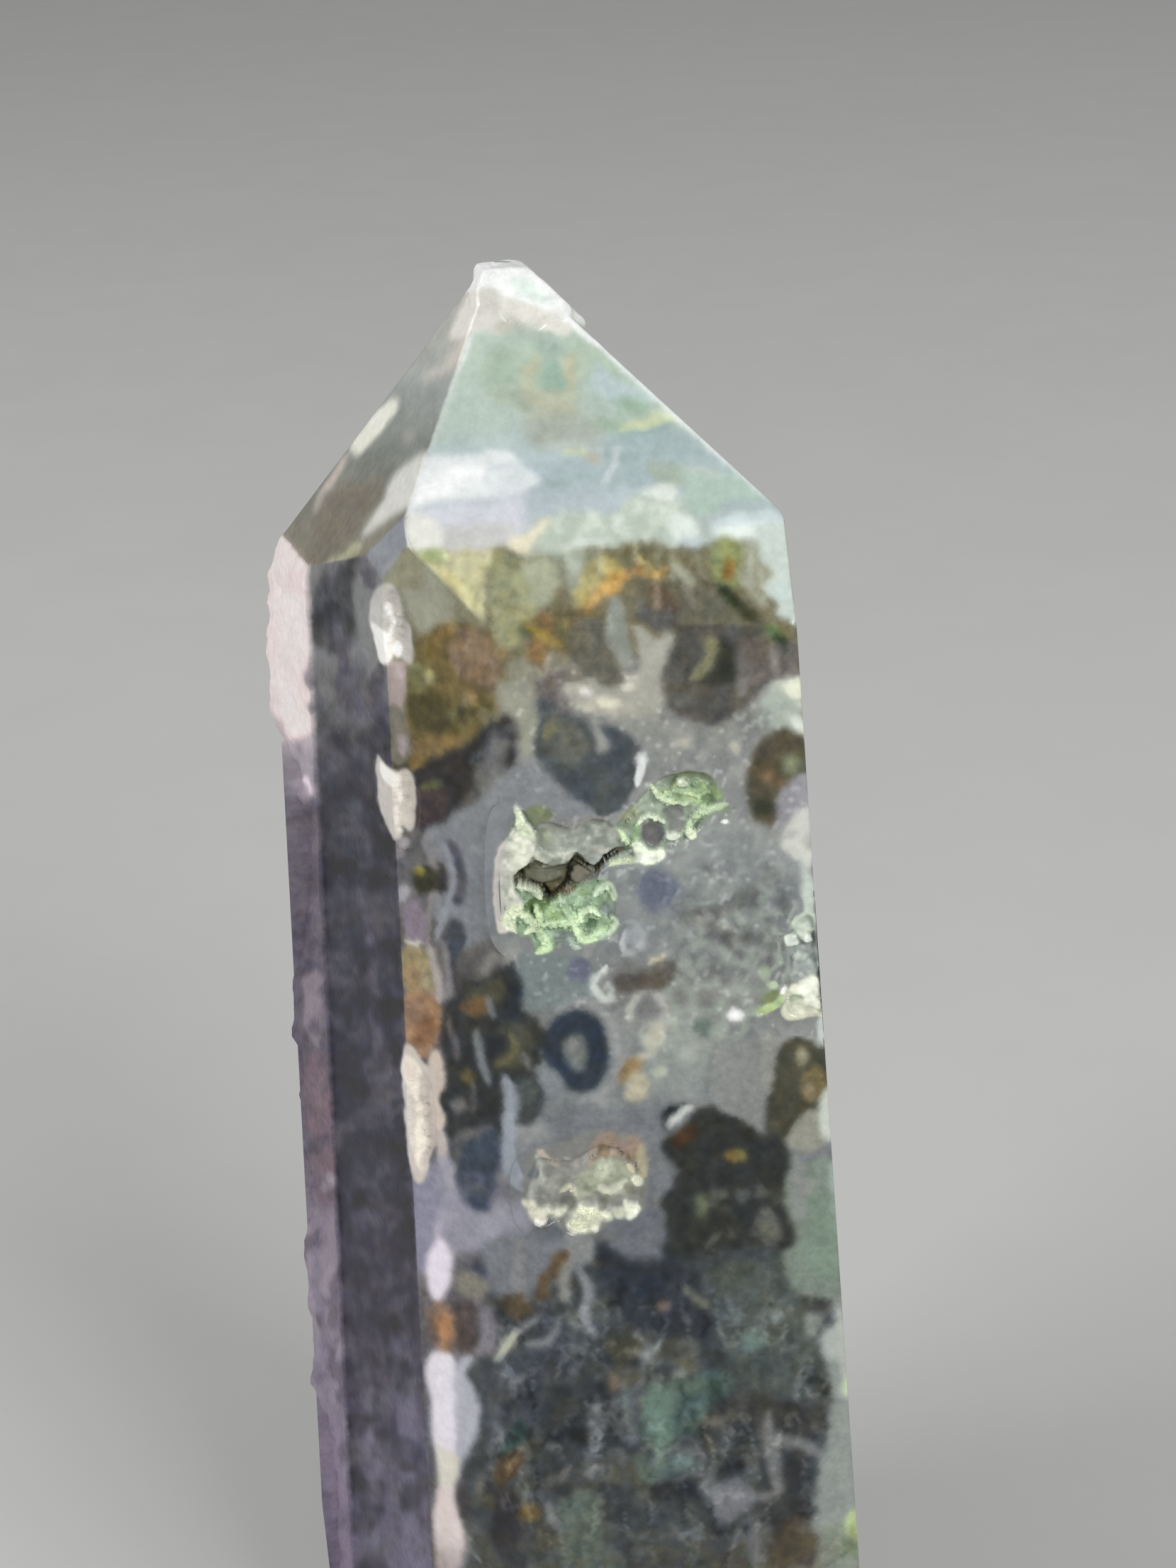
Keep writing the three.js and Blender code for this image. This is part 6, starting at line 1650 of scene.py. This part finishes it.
def crust_level(places, pixels, name):
    """Level of a crust's top by how bright its marks are, how open it is there and the marks' colours."""
    every = np.ones(len(places), bool)
    waves = outline_waves(pixels)
    open_places = np.zeros((len(places), 1))
    lay_marks(open_places, CRUST_PLACES[name], pixels, waves, every)
    druzy, hole = np.clip(open_places[:, 0], 0, 1), np.clip(open_places[:, 0] - 1, 0, 1)
    colours = np.full((len(places), 3), GREY)
    lay_face(colours, np.zeros(len(places)), None, every, "front", dict(ALL_MARKS)["front"], pixels)
    bright = colours.mean(axis=1)
    calm = DRUZY_CALM * druzy * (1 - hole) * smoothstep(*CALM_BRIGHT, bright)
    colours += calm[:, None] * (DRUZY_MIDDLES[name] - colours)
    crumbs = layered(pixels, CRUMBS)
    colours *= (1 + CRUMBLE * druzy * smoothstep(*CRUMB_BRIGHT, bright) * crumbs)[:, None]
    bright = np.clip(colours, 0, 255, out=colours).mean(axis=1)
    lumps = layered(places, CRUST_LUMPS)
    ridges = CRUST_FLOOR + CRUST_RISES[name] * smoothstep(*RISE_BRIGHT, bright) + lumps
    deep = HOLE_FLOOR + HOLE_RISE * smoothstep(*HOLE_BRIGHT, bright) + lumps
    level = CRUST_FLUSH * (1 - druzy) + np.minimum(ridges, CRUST_FLUSH) * druzy
    return level + (deep - level) * hole, druzy, hole, colours


def crust_mesh(name):
    """A crust's points and triangles, and its top's druzy share, growth of crystals and colours."""
    places, rim, faces = crust_sheet(name)
    level = np.full(len(places), CRUST_FLUSH)
    for _ in range(LEVEL_ROUNDS):
        top = from_front(np.concatenate([places, level[:, None]], axis=1))
        level, druzy, hole, colours = crust_level(places, photo_place(top), name)
    under = np.full(len(places), -HOLLOWS[name]["depth"] + CRUST_UNDER)
    level = np.maximum(level, under + CRUST_THINNEST)
    top = from_front(np.concatenate([places, level[:, None]], axis=1))
    bottom = from_front(np.concatenate([places, under[:, None]], axis=1))
    count = len(places)
    for i in range(rim):
        j = (i + 1) % rim
        faces.append([i, i + count, j + count])
        faces.append([i, j + count, j])
    first = len(faces) - 2 * rim
    faces += [[c + count, b + count, a + count] for a, b, c in faces[:first]]
    points = np.concatenate([top, bottom])
    normal, reach = PLANES["right"]
    beyond = np.maximum(points @ normal - (reach - WALL_GAP), 0)
    points -= beyond[:, None] * normal
    add_grain(colours, photo_place(top))
    green = smoothstep(*GROW_VIVID, np.ptp(colours, axis=1))
    grow = smoothstep(*GROW_DRUZY, druzy) * (1 - hole) * smoothstep(*GROW_BRIGHT, colours.mean(axis=1)) * green
    colours = base_colour(colours, CRUST_LIGHT, np.maximum(druzy, hole))
    return {
        "points": points, "faces": np.array(faces), "top faces": first, "tint": np.concatenate([colours, colours]),
        "grow": np.concatenate([grow, grow * 0]), "matte": np.concatenate([druzy, druzy]),
    }


# Making mesh objects

def new_mesh(name, points, faces, flat=None):
    """A mesh object's data; the faces that are chosen as flat keep their own shading."""
    mesh = bpy.data.meshes.new(name)
    mesh.vertices.add(len(points))
    mesh.vertices.foreach_set("co", (points * MM).astype(np.float32).ravel())
    mesh.loops.add(faces.size)
    mesh.loops.foreach_set("vertex_index", faces.astype(np.int32).ravel())
    mesh.polygons.add(len(faces))
    mesh.polygons.foreach_set("loop_start", np.arange(0, faces.size, 3, dtype=np.int32))
    mesh.update(calc_edges=True)
    mesh.validate()
    smooth = np.ones(len(mesh.polygons), bool) if flat is None else ~flat
    mesh.polygons.foreach_set("use_smooth", smooth)
    edges = np.empty(len(mesh.loops), np.int32)
    mesh.loops.foreach_get("edge_index", edges)
    sharp = np.zeros(len(mesh.edges), bool)
    sharp[edges.reshape(-1, 3)[~smooth].ravel()] = True
    mesh.edges.foreach_set("use_edge_sharp", sharp)
    return mesh


def set_value(mesh, name, values):
    mesh.attributes.new(name, "FLOAT", "POINT").data.foreach_set("value", values.astype(np.float32))


def set_tint(mesh, colours):
    shades = np.ones((len(colours), 4), np.float32)
    shades[:, :3] = colours
    mesh.attributes.new("tint", "FLOAT_COLOR", "POINT").data.foreach_set("color", shades.ravel())


def new_object(name, mesh):
    piece = bpy.data.objects.new(name, mesh)
    bpy.context.scene.collection.objects.link(piece)
    return piece


# Materials

class Nodes:
    """Adds linked nodes to a tree."""

    def __init__(self, tree):
        self.tree = tree

    def add(self, kind, inputs=(), **settings):
        node = self.tree.nodes.new(kind)
        for name, value in settings.items():
            setattr(node, name, value)
        for socket, value in dict(inputs).items():
            self.put(node.inputs[socket], value)
        return node

    def put(self, socket, value):
        if isinstance(value, bpy.types.NodeSocket):
            self.tree.links.new(value, socket)
        else:
            socket.default_value = value

    def math(self, operation, *values):
        return self.add("ShaderNodeMath", enumerate(values), operation=operation).outputs[0]

    def vector(self, operation, *values):
        node = self.add("ShaderNodeVectorMath", operation=operation)
        for socket, value in zip(node.inputs, values):
            self.put(socket, value)
        return node.outputs["Vector"]

    def scaled(self, value, factor):
        node = self.add("ShaderNodeVectorMath", {0: value, "Scale": factor}, operation="SCALE")
        return node.outputs["Vector"]

    def attribute(self, name, output="Fac"):
        return self.add("ShaderNodeAttribute", attribute_name=name).outputs[output]

    def noise(self, place, scale, detail=3.0, roughness=0.55, output="Fac"):
        inputs = {"Vector": place, "Scale": scale, "Detail": detail, "Roughness": roughness}
        return self.add("ShaderNodeTexNoise", inputs).outputs[output]

    def ranged(self, value, low, high, to_low=0.0, to_high=1.0):
        inputs = {"Value": value, "From Min": low, "From Max": high, "To Min": to_low, "To Max": to_high}
        return self.add("ShaderNodeMapRange", inputs, interpolation_type="SMOOTHSTEP").outputs["Result"]

    def between(self, share, first, second):
        """A number that the share moves from the first to the second."""
        node = self.add("ShaderNodeMix", {"Factor": share, "A": first, "B": second}, data_type="FLOAT")
        return node.outputs["Result"]

    def bump(self, shader, strength, distance, height):
        node = self.add("ShaderNodeBump", {"Strength": strength, "Distance": distance * MM, "Height": height})
        self.put(shader.inputs["Normal"], node.outputs["Normal"])

    def mixed(self, share, first, second):
        """A colour that the share moves from the first to the second."""
        node = self.add("ShaderNodeMix", data_type="RGBA")
        self.put(node.inputs["Factor"], share)
        colours = [socket for socket in node.inputs if socket.type == "RGBA"]
        self.put(colours[0], first)
        self.put(colours[1], second)
        return next(socket for socket in node.outputs if socket.type == "RGBA")

    def ramp(self, value, stops):
        node = self.add("ShaderNodeValToRGB", {"Fac": value})
        entries = node.color_ramp.elements
        while len(entries) < len(stops):
            entries.new(0.5)
        for entry, (place, colour) in zip(entries, stops):
            entry.position = place
            entry.color = shade(colour)
        return node.outputs["Color"]


def shade(colour):
    """A display colour from 0 to 255 as a linear one with full alpha."""
    return (*linear_colour(colour), 1.0)


def millimetres(nodes):
    place = nodes.add("ShaderNodeTexCoord").outputs["Object"]
    return nodes.scaled(place, 1 / MM)


def new_material(name):
    material = bpy.data.materials.new(name)
    material.use_nodes = True
    nodes = Nodes(material.node_tree)
    return material, nodes, material.node_tree.nodes["Principled BSDF"]


POLISHED = 0.16  # roughness of the crusts' polished places
AGATE_IOR = 1.45
QUARTZ_IOR = 1.54

WILD_GROUND = (
    (0.28, (96, 98, 104)), (0.4, (120, 122, 118)), (0.48, (146, 148, 142)), (0.55, (134, 140, 136)),
    (0.62, (140, 138, 146)), (0.72, (158, 168, 156)),
)
WILD_MOSS = (
    (0.34, (46, 48, 47)), (0.43, (62, 66, 70)), (0.5, (92, 82, 60)), (0.56, (74, 84, 64)), (0.64, (48, 54, 47)),
)
RUST = (150, 106, 60)
MILK = (176, 176, 170)
SHADOW = (98, 99, 98)
STAIN = (112, 136, 116)


def wild_agate(nodes, place):
    """The colour of moss agate where no mark is placed: a grey-green ground, dark moss, veins and rust."""
    bend = nodes.vector("SUBTRACT", nodes.noise(place, 0.13, 2.0, output="Color"), (0.5, 0.5, 0.5))
    bent = nodes.vector("ADD", place, nodes.scaled(bend, 7.0))
    height = nodes.add("ShaderNodeSeparateXYZ", {0: place}).outputs["Z"]
    ground = nodes.ramp(nodes.noise(bent, 0.16, 5.0, 0.62), WILD_GROUND)
    pale = nodes.ranged(height, 60.0, 74.0, 0.0, 0.55)
    ground = nodes.mixed(pale, ground, shade((188, 200, 190)))
    stain = nodes.ranged(nodes.noise(bent, 0.11, 3.0), 0.58, 0.68, 0.0, 0.6)
    ground = nodes.mixed(stain, ground, shade(STAIN))
    lumps = nodes.noise(bent, 0.17, 4.0, 0.5)
    bias = nodes.ranged(height, 5.0, 64.0, 0.075, -0.075)
    moss = nodes.math("ADD", lumps, bias)
    rusty = nodes.math(
        "MULTIPLY", nodes.ranged(moss, 0.47, 0.53), nodes.ranged(nodes.noise(place, 0.3, 3.0), 0.54, 0.64)
    )
    ground = nodes.mixed(rusty, ground, shade(RUST))
    depth = nodes.ranged(moss, 0.44, 0.54, 0.0, 0.5)
    ground = nodes.mixed(depth, ground, shade(SHADOW))
    moss_colour = nodes.ramp(nodes.noise(place, 0.62, 5.0, 0.66), WILD_MOSS)
    colour = nodes.mixed(nodes.ranged(moss, 0.52, 0.55), ground, moss_colour)
    ridge = nodes.math("ABSOLUTE", nodes.math("SUBTRACT", nodes.noise(place, 0.2, 2.5), 0.5))
    vein = nodes.math("MULTIPLY", nodes.ranged(ridge, 0.0, 0.03, 0.4, 0.0), nodes.ranged(moss, 0.54, 0.46))
    return nodes.mixed(vein, colour, shade(MILK))


def agate_material(settings):
    """Polished stone that takes its marks from the piece, and turns matte where the piece says so."""
    material, nodes, shader = new_material("polished_moss_agate")
    place = millimetres(nodes)
    painted = nodes.attribute("painted")
    matte = nodes.attribute("matte")
    colour = nodes.mixed(painted, wild_agate(nodes, place), nodes.attribute("tint", "Color"))
    bright = nodes.add("ShaderNodeRGBToBW", {"Color": colour}).outputs["Val"]
    spread = nodes.ranged(bright, 0.06, 0.4, 0.16, 0.05)
    fine = nodes.math("MULTIPLY", nodes.ranged(nodes.noise(place, 2.8, 6.0, 0.68), 0.3, 0.7, -1.0, 1.0), spread)
    fine = nodes.math("ADD", fine, 1.0)
    cloudy = nodes.ranged(nodes.noise(place, 0.7, 4.0, 0.6), 0.3, 0.7, 0.96, 1.04)
    tone = nodes.math("MULTIPLY", fine, cloudy)
    colour = nodes.scaled(colour, tone)
    nodes.put(shader.inputs["Base Color"], colour)
    haze = nodes.ranged(nodes.noise(place, 0.5, 3.0), 0.35, 0.7, settings.polish, settings.polish + 0.1)
    nodes.put(shader.inputs["Roughness"], nodes.between(matte, haze, settings.skin_roughness))
    nodes.bump(shader, nodes.math("MULTIPLY", matte, 0.55), 0.2, nodes.noise(place, 5.0, 5.0, 0.7))
    shader.inputs["IOR"].default_value = AGATE_IOR
    return material


def druzy_material(name, settings):
    """Sugary crystals with a wet sparkle."""
    material, nodes, shader = new_material(name)
    place = millimetres(nodes)
    open_share = nodes.attribute("matte")
    fine = nodes.ranged(nodes.noise(place, 3.2, 5.0, 0.7), 0.3, 0.7, 0.92, 1.08)
    colour = nodes.scaled(nodes.attribute("tint", "Color"), fine)
    nodes.put(shader.inputs["Base Color"], colour)
    rough = nodes.ranged(nodes.noise(place, 6.0, 2.0), 0.35, 0.65, settings.shine, settings.shine + 0.25)
    nodes.put(shader.inputs["Roughness"], nodes.between(open_share, POLISHED, rough))
    nodes.bump(shader, nodes.math("MULTIPLY", open_share, 0.3), 0.1, nodes.noise(place, 7.0))
    shader.inputs["IOR"].default_value = QUARTZ_IOR
    return material


def studio_material(name, colour, roughness):
    material, nodes, shader = new_material(name)
    place = nodes.add("ShaderNodeTexCoord").outputs["Object"]
    tone = nodes.ranged(nodes.noise(place, 60.0, 4.0), 0.2, 0.8, 0.985, 1.015)
    nodes.put(shader.inputs["Base Color"], nodes.scaled(tuple(colour)[:3], tone))
    shader.inputs["Roughness"].default_value = roughness
    return material


# Crystals on the crusts

CRYSTAL_SIDES = 6
CRYSTAL_LEAN, CRYSTAL_TURN = 0.4, 3.1  # radians, both ways


def crystal_tree(material):
    """Geometry Nodes that grow six-sided crystals over a crust, by its "grow" attribute."""
    tree = bpy.data.node_groups.new("druzy_crystals", "GeometryNodeTree")
    sides = tree.interface
    sides.new_socket("Geometry", in_out="INPUT", socket_type="NodeSocketGeometry")
    for name, default in (("Density", 9e7), ("Radius", 0.0001), ("Height", 0.0002), ("Smallest", 0.5)):
        sides.new_socket(name, in_out="INPUT", socket_type="NodeSocketFloat").default_value = default
    sides.new_socket("Seed", in_out="INPUT", socket_type="NodeSocketInt")
    sides.new_socket("Geometry", in_out="OUTPUT", socket_type="NodeSocketGeometry")
    nodes = Nodes(tree)
    given = nodes.add("NodeGroupInput").outputs
    grow = nodes.add("GeometryNodeInputNamedAttribute", {"Name": "grow"}, data_type="FLOAT").outputs["Attribute"]
    scatter = nodes.add(
        "GeometryNodeDistributePointsOnFaces",
        {"Mesh": given["Geometry"], "Density": nodes.math("MULTIPLY", given["Density"], grow), "Seed": given["Seed"]},
    )
    cone = nodes.add(
        "GeometryNodeMeshCone",
        {"Vertices": CRYSTAL_SIDES, "Radius Bottom": given["Radius"], "Depth": given["Height"]},
        fill_type="NGON",
    )
    most = (CRYSTAL_LEAN, CRYSTAL_LEAN, CRYSTAL_TURN)
    lean = nodes.add(
        "FunctionNodeRandomValue", {"Min": tuple(-part for part in most), "Max": most, "Seed": given["Seed"]},
        data_type="FLOAT_VECTOR",
    )
    turned = nodes.add(
        "FunctionNodeRotateRotation",
        {"Rotation": scatter.outputs["Rotation"], "Rotate By": lean.outputs["Value"]}, rotation_space="LOCAL",
    )
    size = nodes.add("FunctionNodeRandomValue", data_type="FLOAT")
    number = [socket for socket in size.inputs if socket.type == "VALUE"]
    nodes.put(number[0], given["Smallest"])
    nodes.put(number[1], 1.0)
    nodes.put(size.inputs["Seed"], given["Seed"])
    grown = next(socket for socket in size.outputs if socket.type == "VALUE")
    crystals = nodes.add(
        "GeometryNodeInstanceOnPoints",
        {
            "Points": scatter.outputs["Points"], "Instance": cone.outputs["Mesh"],
            "Rotation": turned.outputs["Rotation"], "Scale": grown,
        },
    )
    flat = nodes.add("GeometryNodeSetShadeSmooth", {"Shade Smooth": False})
    solid = nodes.add("GeometryNodeRealizeInstances", {"Geometry": crystals.outputs["Instances"]})
    nodes.put(flat.inputs["Geometry"], solid.outputs["Geometry"])
    joined = nodes.add("GeometryNodeJoinGeometry")
    tree.links.new(flat.outputs["Geometry"], joined.inputs["Geometry"])
    tree.links.new(given["Geometry"], joined.inputs["Geometry"])
    finish = nodes.add("GeometryNodeSetMaterial", {"Geometry": joined.outputs["Geometry"], "Material": material})
    nodes.add("NodeGroupOutput", {"Geometry": finish.outputs["Geometry"]})
    return tree


def with_crystals(piece, tree, values):
    """Runs the crystals' nodes on a piece and keeps the result as its plain mesh."""
    modifier = piece.modifiers.new("crystals", "NODES")
    modifier.node_group = tree
    for socket in tree.interface.items_tree:
        if socket.in_out == "INPUT" and socket.name in values:
            modifier[socket.identifier] = values[socket.name]
    evaluated = piece.evaluated_get(bpy.context.evaluated_depsgraph_get())
    mesh = bpy.data.meshes.new_from_object(evaluated)
    piece.modifiers.remove(modifier)
    plain = piece.data
    piece.data = mesh
    bpy.data.meshes.remove(plain)
    mesh.name = piece.name


# The add-on

FLOOR_ROUGHNESS = 0.7
LIT_PLACE = Vector((0, 0, 0.045))  # in metres, what the lights look at
LAMPS = (("right_light", (0.44, -0.58, 0.42)), ("left_light", (-0.62, -0.34, 0.46)))
LAMP_SIZE = 0.4
CLIP = (0.005, 20)  # nearest and farthest that the camera sees


class AgateStone(bpy.types.PropertyGroup):
    """What can be changed on the polished stone."""

    edge_softness: bpy.props.FloatProperty(
        name="Edge softness", description="How much the edges between the faces are rounded, in millimetres",
        default=0.05, min=0.01, max=0.4,
    )
    polish: bpy.props.FloatProperty(
        name="Polish", description="Roughness of the polished faces", default=0.13, min=0, max=1, subtype="FACTOR",
    )
    skin_roughness: bpy.props.FloatProperty(
        name="Skin roughness", description="Roughness of the raw skin and the pits", default=0.72, min=0, max=1,
        subtype="FACTOR",
    )


class DruzyCrusts(bpy.types.PropertyGroup):
    """What can be changed on the crystals of the crusts."""

    density: bpy.props.FloatProperty(
        name="Crystals", description="Crystals to a square millimetre", default=34, min=1, max=400,
    )
    radius: bpy.props.FloatProperty(
        name="Radius", description="Radius of the largest crystals", default=0.00011, min=0.00001, max=0.001,
        precision=5, subtype="DISTANCE", unit="LENGTH",
    )
    height: bpy.props.FloatProperty(
        name="Height", description="Height of the largest crystals", default=0.00009, min=0.00001, max=0.002,
        precision=5, subtype="DISTANCE", unit="LENGTH",
    )
    smallest: bpy.props.FloatProperty(
        name="Smallest", description="Size of the smallest crystals beside the largest", default=0.45, min=0.1,
        max=1, subtype="FACTOR",
    )
    seed: bpy.props.IntProperty(name="Seed", description="Changes where the crystals stand", default=4, min=0)
    shine: bpy.props.FloatProperty(
        name="Shine", description="Roughness of the shiniest crystals", default=0.3, min=0, max=1, subtype="FACTOR",
    )


class PlainStudio(bpy.types.PropertyGroup):
    """What can be changed on the floor and the lights."""

    floor_size: bpy.props.FloatProperty(
        name="Floor size", description="Width of the floor", default=6.0, min=0.5, max=20, subtype="DISTANCE",
        unit="LENGTH",
    )
    floor_colour: bpy.props.FloatVectorProperty(
        name="Floor colour", description="Colour of the plain floor", default=(0.62, 0.62, 0.61), size=3, min=0,
        max=1, subtype="COLOR",
    )
    sky: bpy.props.FloatProperty(
        name="Room light", description="Strength of the even light of the room", default=0.354, min=0, max=5,
    )
    right_light: bpy.props.FloatProperty(
        name="Right light", description="Power of the soft light at the right of the camera", default=4.2, min=0,
        subtype="POWER", unit="POWER",
    )
    left_light: bpy.props.FloatProperty(
        name="Left light", description="Power of the soft light at the left", default=3.4, min=0,
        subtype="POWER", unit="POWER",
    )


class OBJECT_OT_agate_stone(bpy.types.Operator):
    """Make the polished stone with its raw skin, frosted tip, pits and hollows"""

    bl_idname = "object.agate_stone"
    bl_label = "Polished stone"

    def execute(self, context):
        settings = context.scene.agate_stone
        points, faces, matte, on_face = stone_mesh(settings.edge_softness)
        mesh = new_mesh("polished_stone", points, faces, hollow_walls(points, faces, on_face))
        colours, painted = paint(points, faces, on_face, matte)
        set_tint(mesh, colours)
        set_value(mesh, "painted", painted)
        set_value(mesh, "matte", matte)
        mesh.materials.append(agate_material(settings))
        piece = new_object("polished_stone", mesh)
        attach(piece, "root")
        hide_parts("tower")
        return {"FINISHED"}


CRUST_SLOTS = {"green": "green_druzy", "pale": "cream_druzy", "right": "green_druzy"}


class OBJECT_OT_druzy_crusts(bpy.types.Operator):
    """Make the crystal crusts of the hollows"""

    bl_idname = "object.druzy_crusts"
    bl_label = "Druzy crusts"

    def execute(self, context):
        settings = context.scene.druzy_crusts
        for slot in sorted(set(CRUST_SLOTS.values())):
            tree = crystal_tree(druzy_material(slot, settings))
            for name in [name for name in CRUST_SLOTS if CRUST_SLOTS[name] == slot]:
                self.make_crust(settings, name, slot, tree)
        return {"FINISHED"}

    def make_crust(self, settings, name, slot, tree):
        crust = crust_mesh(name)
        flat = np.arange(len(crust["faces"])) >= crust["top faces"]
        mesh = new_mesh(name + "_druzy", crust["points"], crust["faces"], flat)
        set_tint(mesh, crust["tint"])
        set_value(mesh, "grow", crust["grow"])
        set_value(mesh, "matte", crust["matte"])
        piece = new_object(name + "_druzy", mesh)
        values = {
            "Density": settings.density / MM**2, "Radius": settings.radius, "Height": settings.height,
            "Smallest": settings.smallest, "Seed": settings.seed,
        }
        with_crystals(piece, tree, values)
        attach(piece, "root")
        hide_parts(name + "_druzy_crust")


class OBJECT_OT_agate_studio(bpy.types.Operator):
    """Make the plain floor, the soft lights and the photograph's camera"""

    bl_idname = "object.agate_studio"
    bl_label = "Plain studio"

    def execute(self, context):
        settings = context.scene.plain_studio
        self.make_floor(settings)
        self.make_lights(settings)
        self.make_camera(context.scene)
        context.scene.view_settings.view_transform = "Standard"
        return {"FINISHED"}

    def make_floor(self, settings):
        half = settings.floor_size / 2 / MM
        corners = np.array([(-half, -half, 0), (half, -half, 0), (half, half, 0), (-half, half, 0)], float)
        mesh = new_mesh("floor", corners, np.array([(0, 1, 2), (0, 2, 3)]))
        mesh.materials.append(studio_material("pale_floor", settings.floor_colour, FLOOR_ROUGHNESS))
        new_object("floor", mesh)

    def make_lights(self, settings):
        world = bpy.data.worlds.new("plain_room")
        world.use_nodes = True
        background = world.node_tree.nodes["Background"]
        background.inputs["Color"].default_value = (1.0, 1.0, 1.0, 1.0)
        background.inputs["Strength"].default_value = settings.sky
        bpy.context.scene.world = world
        for name, place in LAMPS:
            light = bpy.data.lights.new(name, "AREA")
            light.shape = "SQUARE"
            light.size = LAMP_SIZE
            light.energy = getattr(settings, name)
            lamp = new_object(name, light)
            lamp.location = place
            lamp.rotation_euler = (LIT_PLACE - Vector(place)).to_track_quat("-Z", "Y").to_euler()

    def make_camera(self, scene):
        data = bpy.data.cameras.new("photo_camera")
        data.sensor_fit = "AUTO"
        data.sensor_width = SENSOR
        data.lens = SENSOR * FOCAL_PIXELS / PHOTO_HEIGHT
        data.clip_start, data.clip_end = CLIP
        camera = new_object("photo_camera", data)
        right, up, forward = camera_axes()
        turn = Matrix(np.stack([right, up, -forward], axis=1)).to_4x4()
        camera.matrix_world = Matrix.Translation(CAMERA_PLACE * MM) @ turn
        scene.camera = camera


class VIEW3D_PT_agate_tower(bpy.types.Panel):
    """Lists the tower's steps and what can be changed"""

    bl_label = "Agate tower"
    bl_space_type = "VIEW_3D"
    bl_region_type = "UI"
    bl_category = "Agate tower"

    def draw(self, context):
        for group, operator in (
            ("agate_stone", OBJECT_OT_agate_stone),
            ("druzy_crusts", OBJECT_OT_druzy_crusts),
            ("plain_studio", OBJECT_OT_agate_studio),
        ):
            box = self.layout.box()
            settings = getattr(context.scene, group)
            for name in settings.__annotations__:
                box.prop(settings, name)
            box.operator(operator.bl_idname)


CLASSES = (
    AgateStone, DruzyCrusts, PlainStudio, OBJECT_OT_agate_stone, OBJECT_OT_druzy_crusts, OBJECT_OT_agate_studio,
    VIEW3D_PT_agate_tower,
)


def register():
    for part in CLASSES:
        bpy.utils.register_class(part)
    bpy.types.Scene.agate_stone = bpy.props.PointerProperty(type=AgateStone)
    bpy.types.Scene.druzy_crusts = bpy.props.PointerProperty(type=DruzyCrusts)
    bpy.types.Scene.plain_studio = bpy.props.PointerProperty(type=PlainStudio)


def unregister():
    del bpy.types.Scene.plain_studio
    del bpy.types.Scene.druzy_crusts
    del bpy.types.Scene.agate_stone
    for part in reversed(CLASSES):
        bpy.utils.unregister_class(part)


def main():
    register()
    bpy.ops.object.agate_studio()
    bpy.ops.object.agate_stone()
    bpy.ops.object.druzy_crusts()


if __name__ == "__main__":
    main()
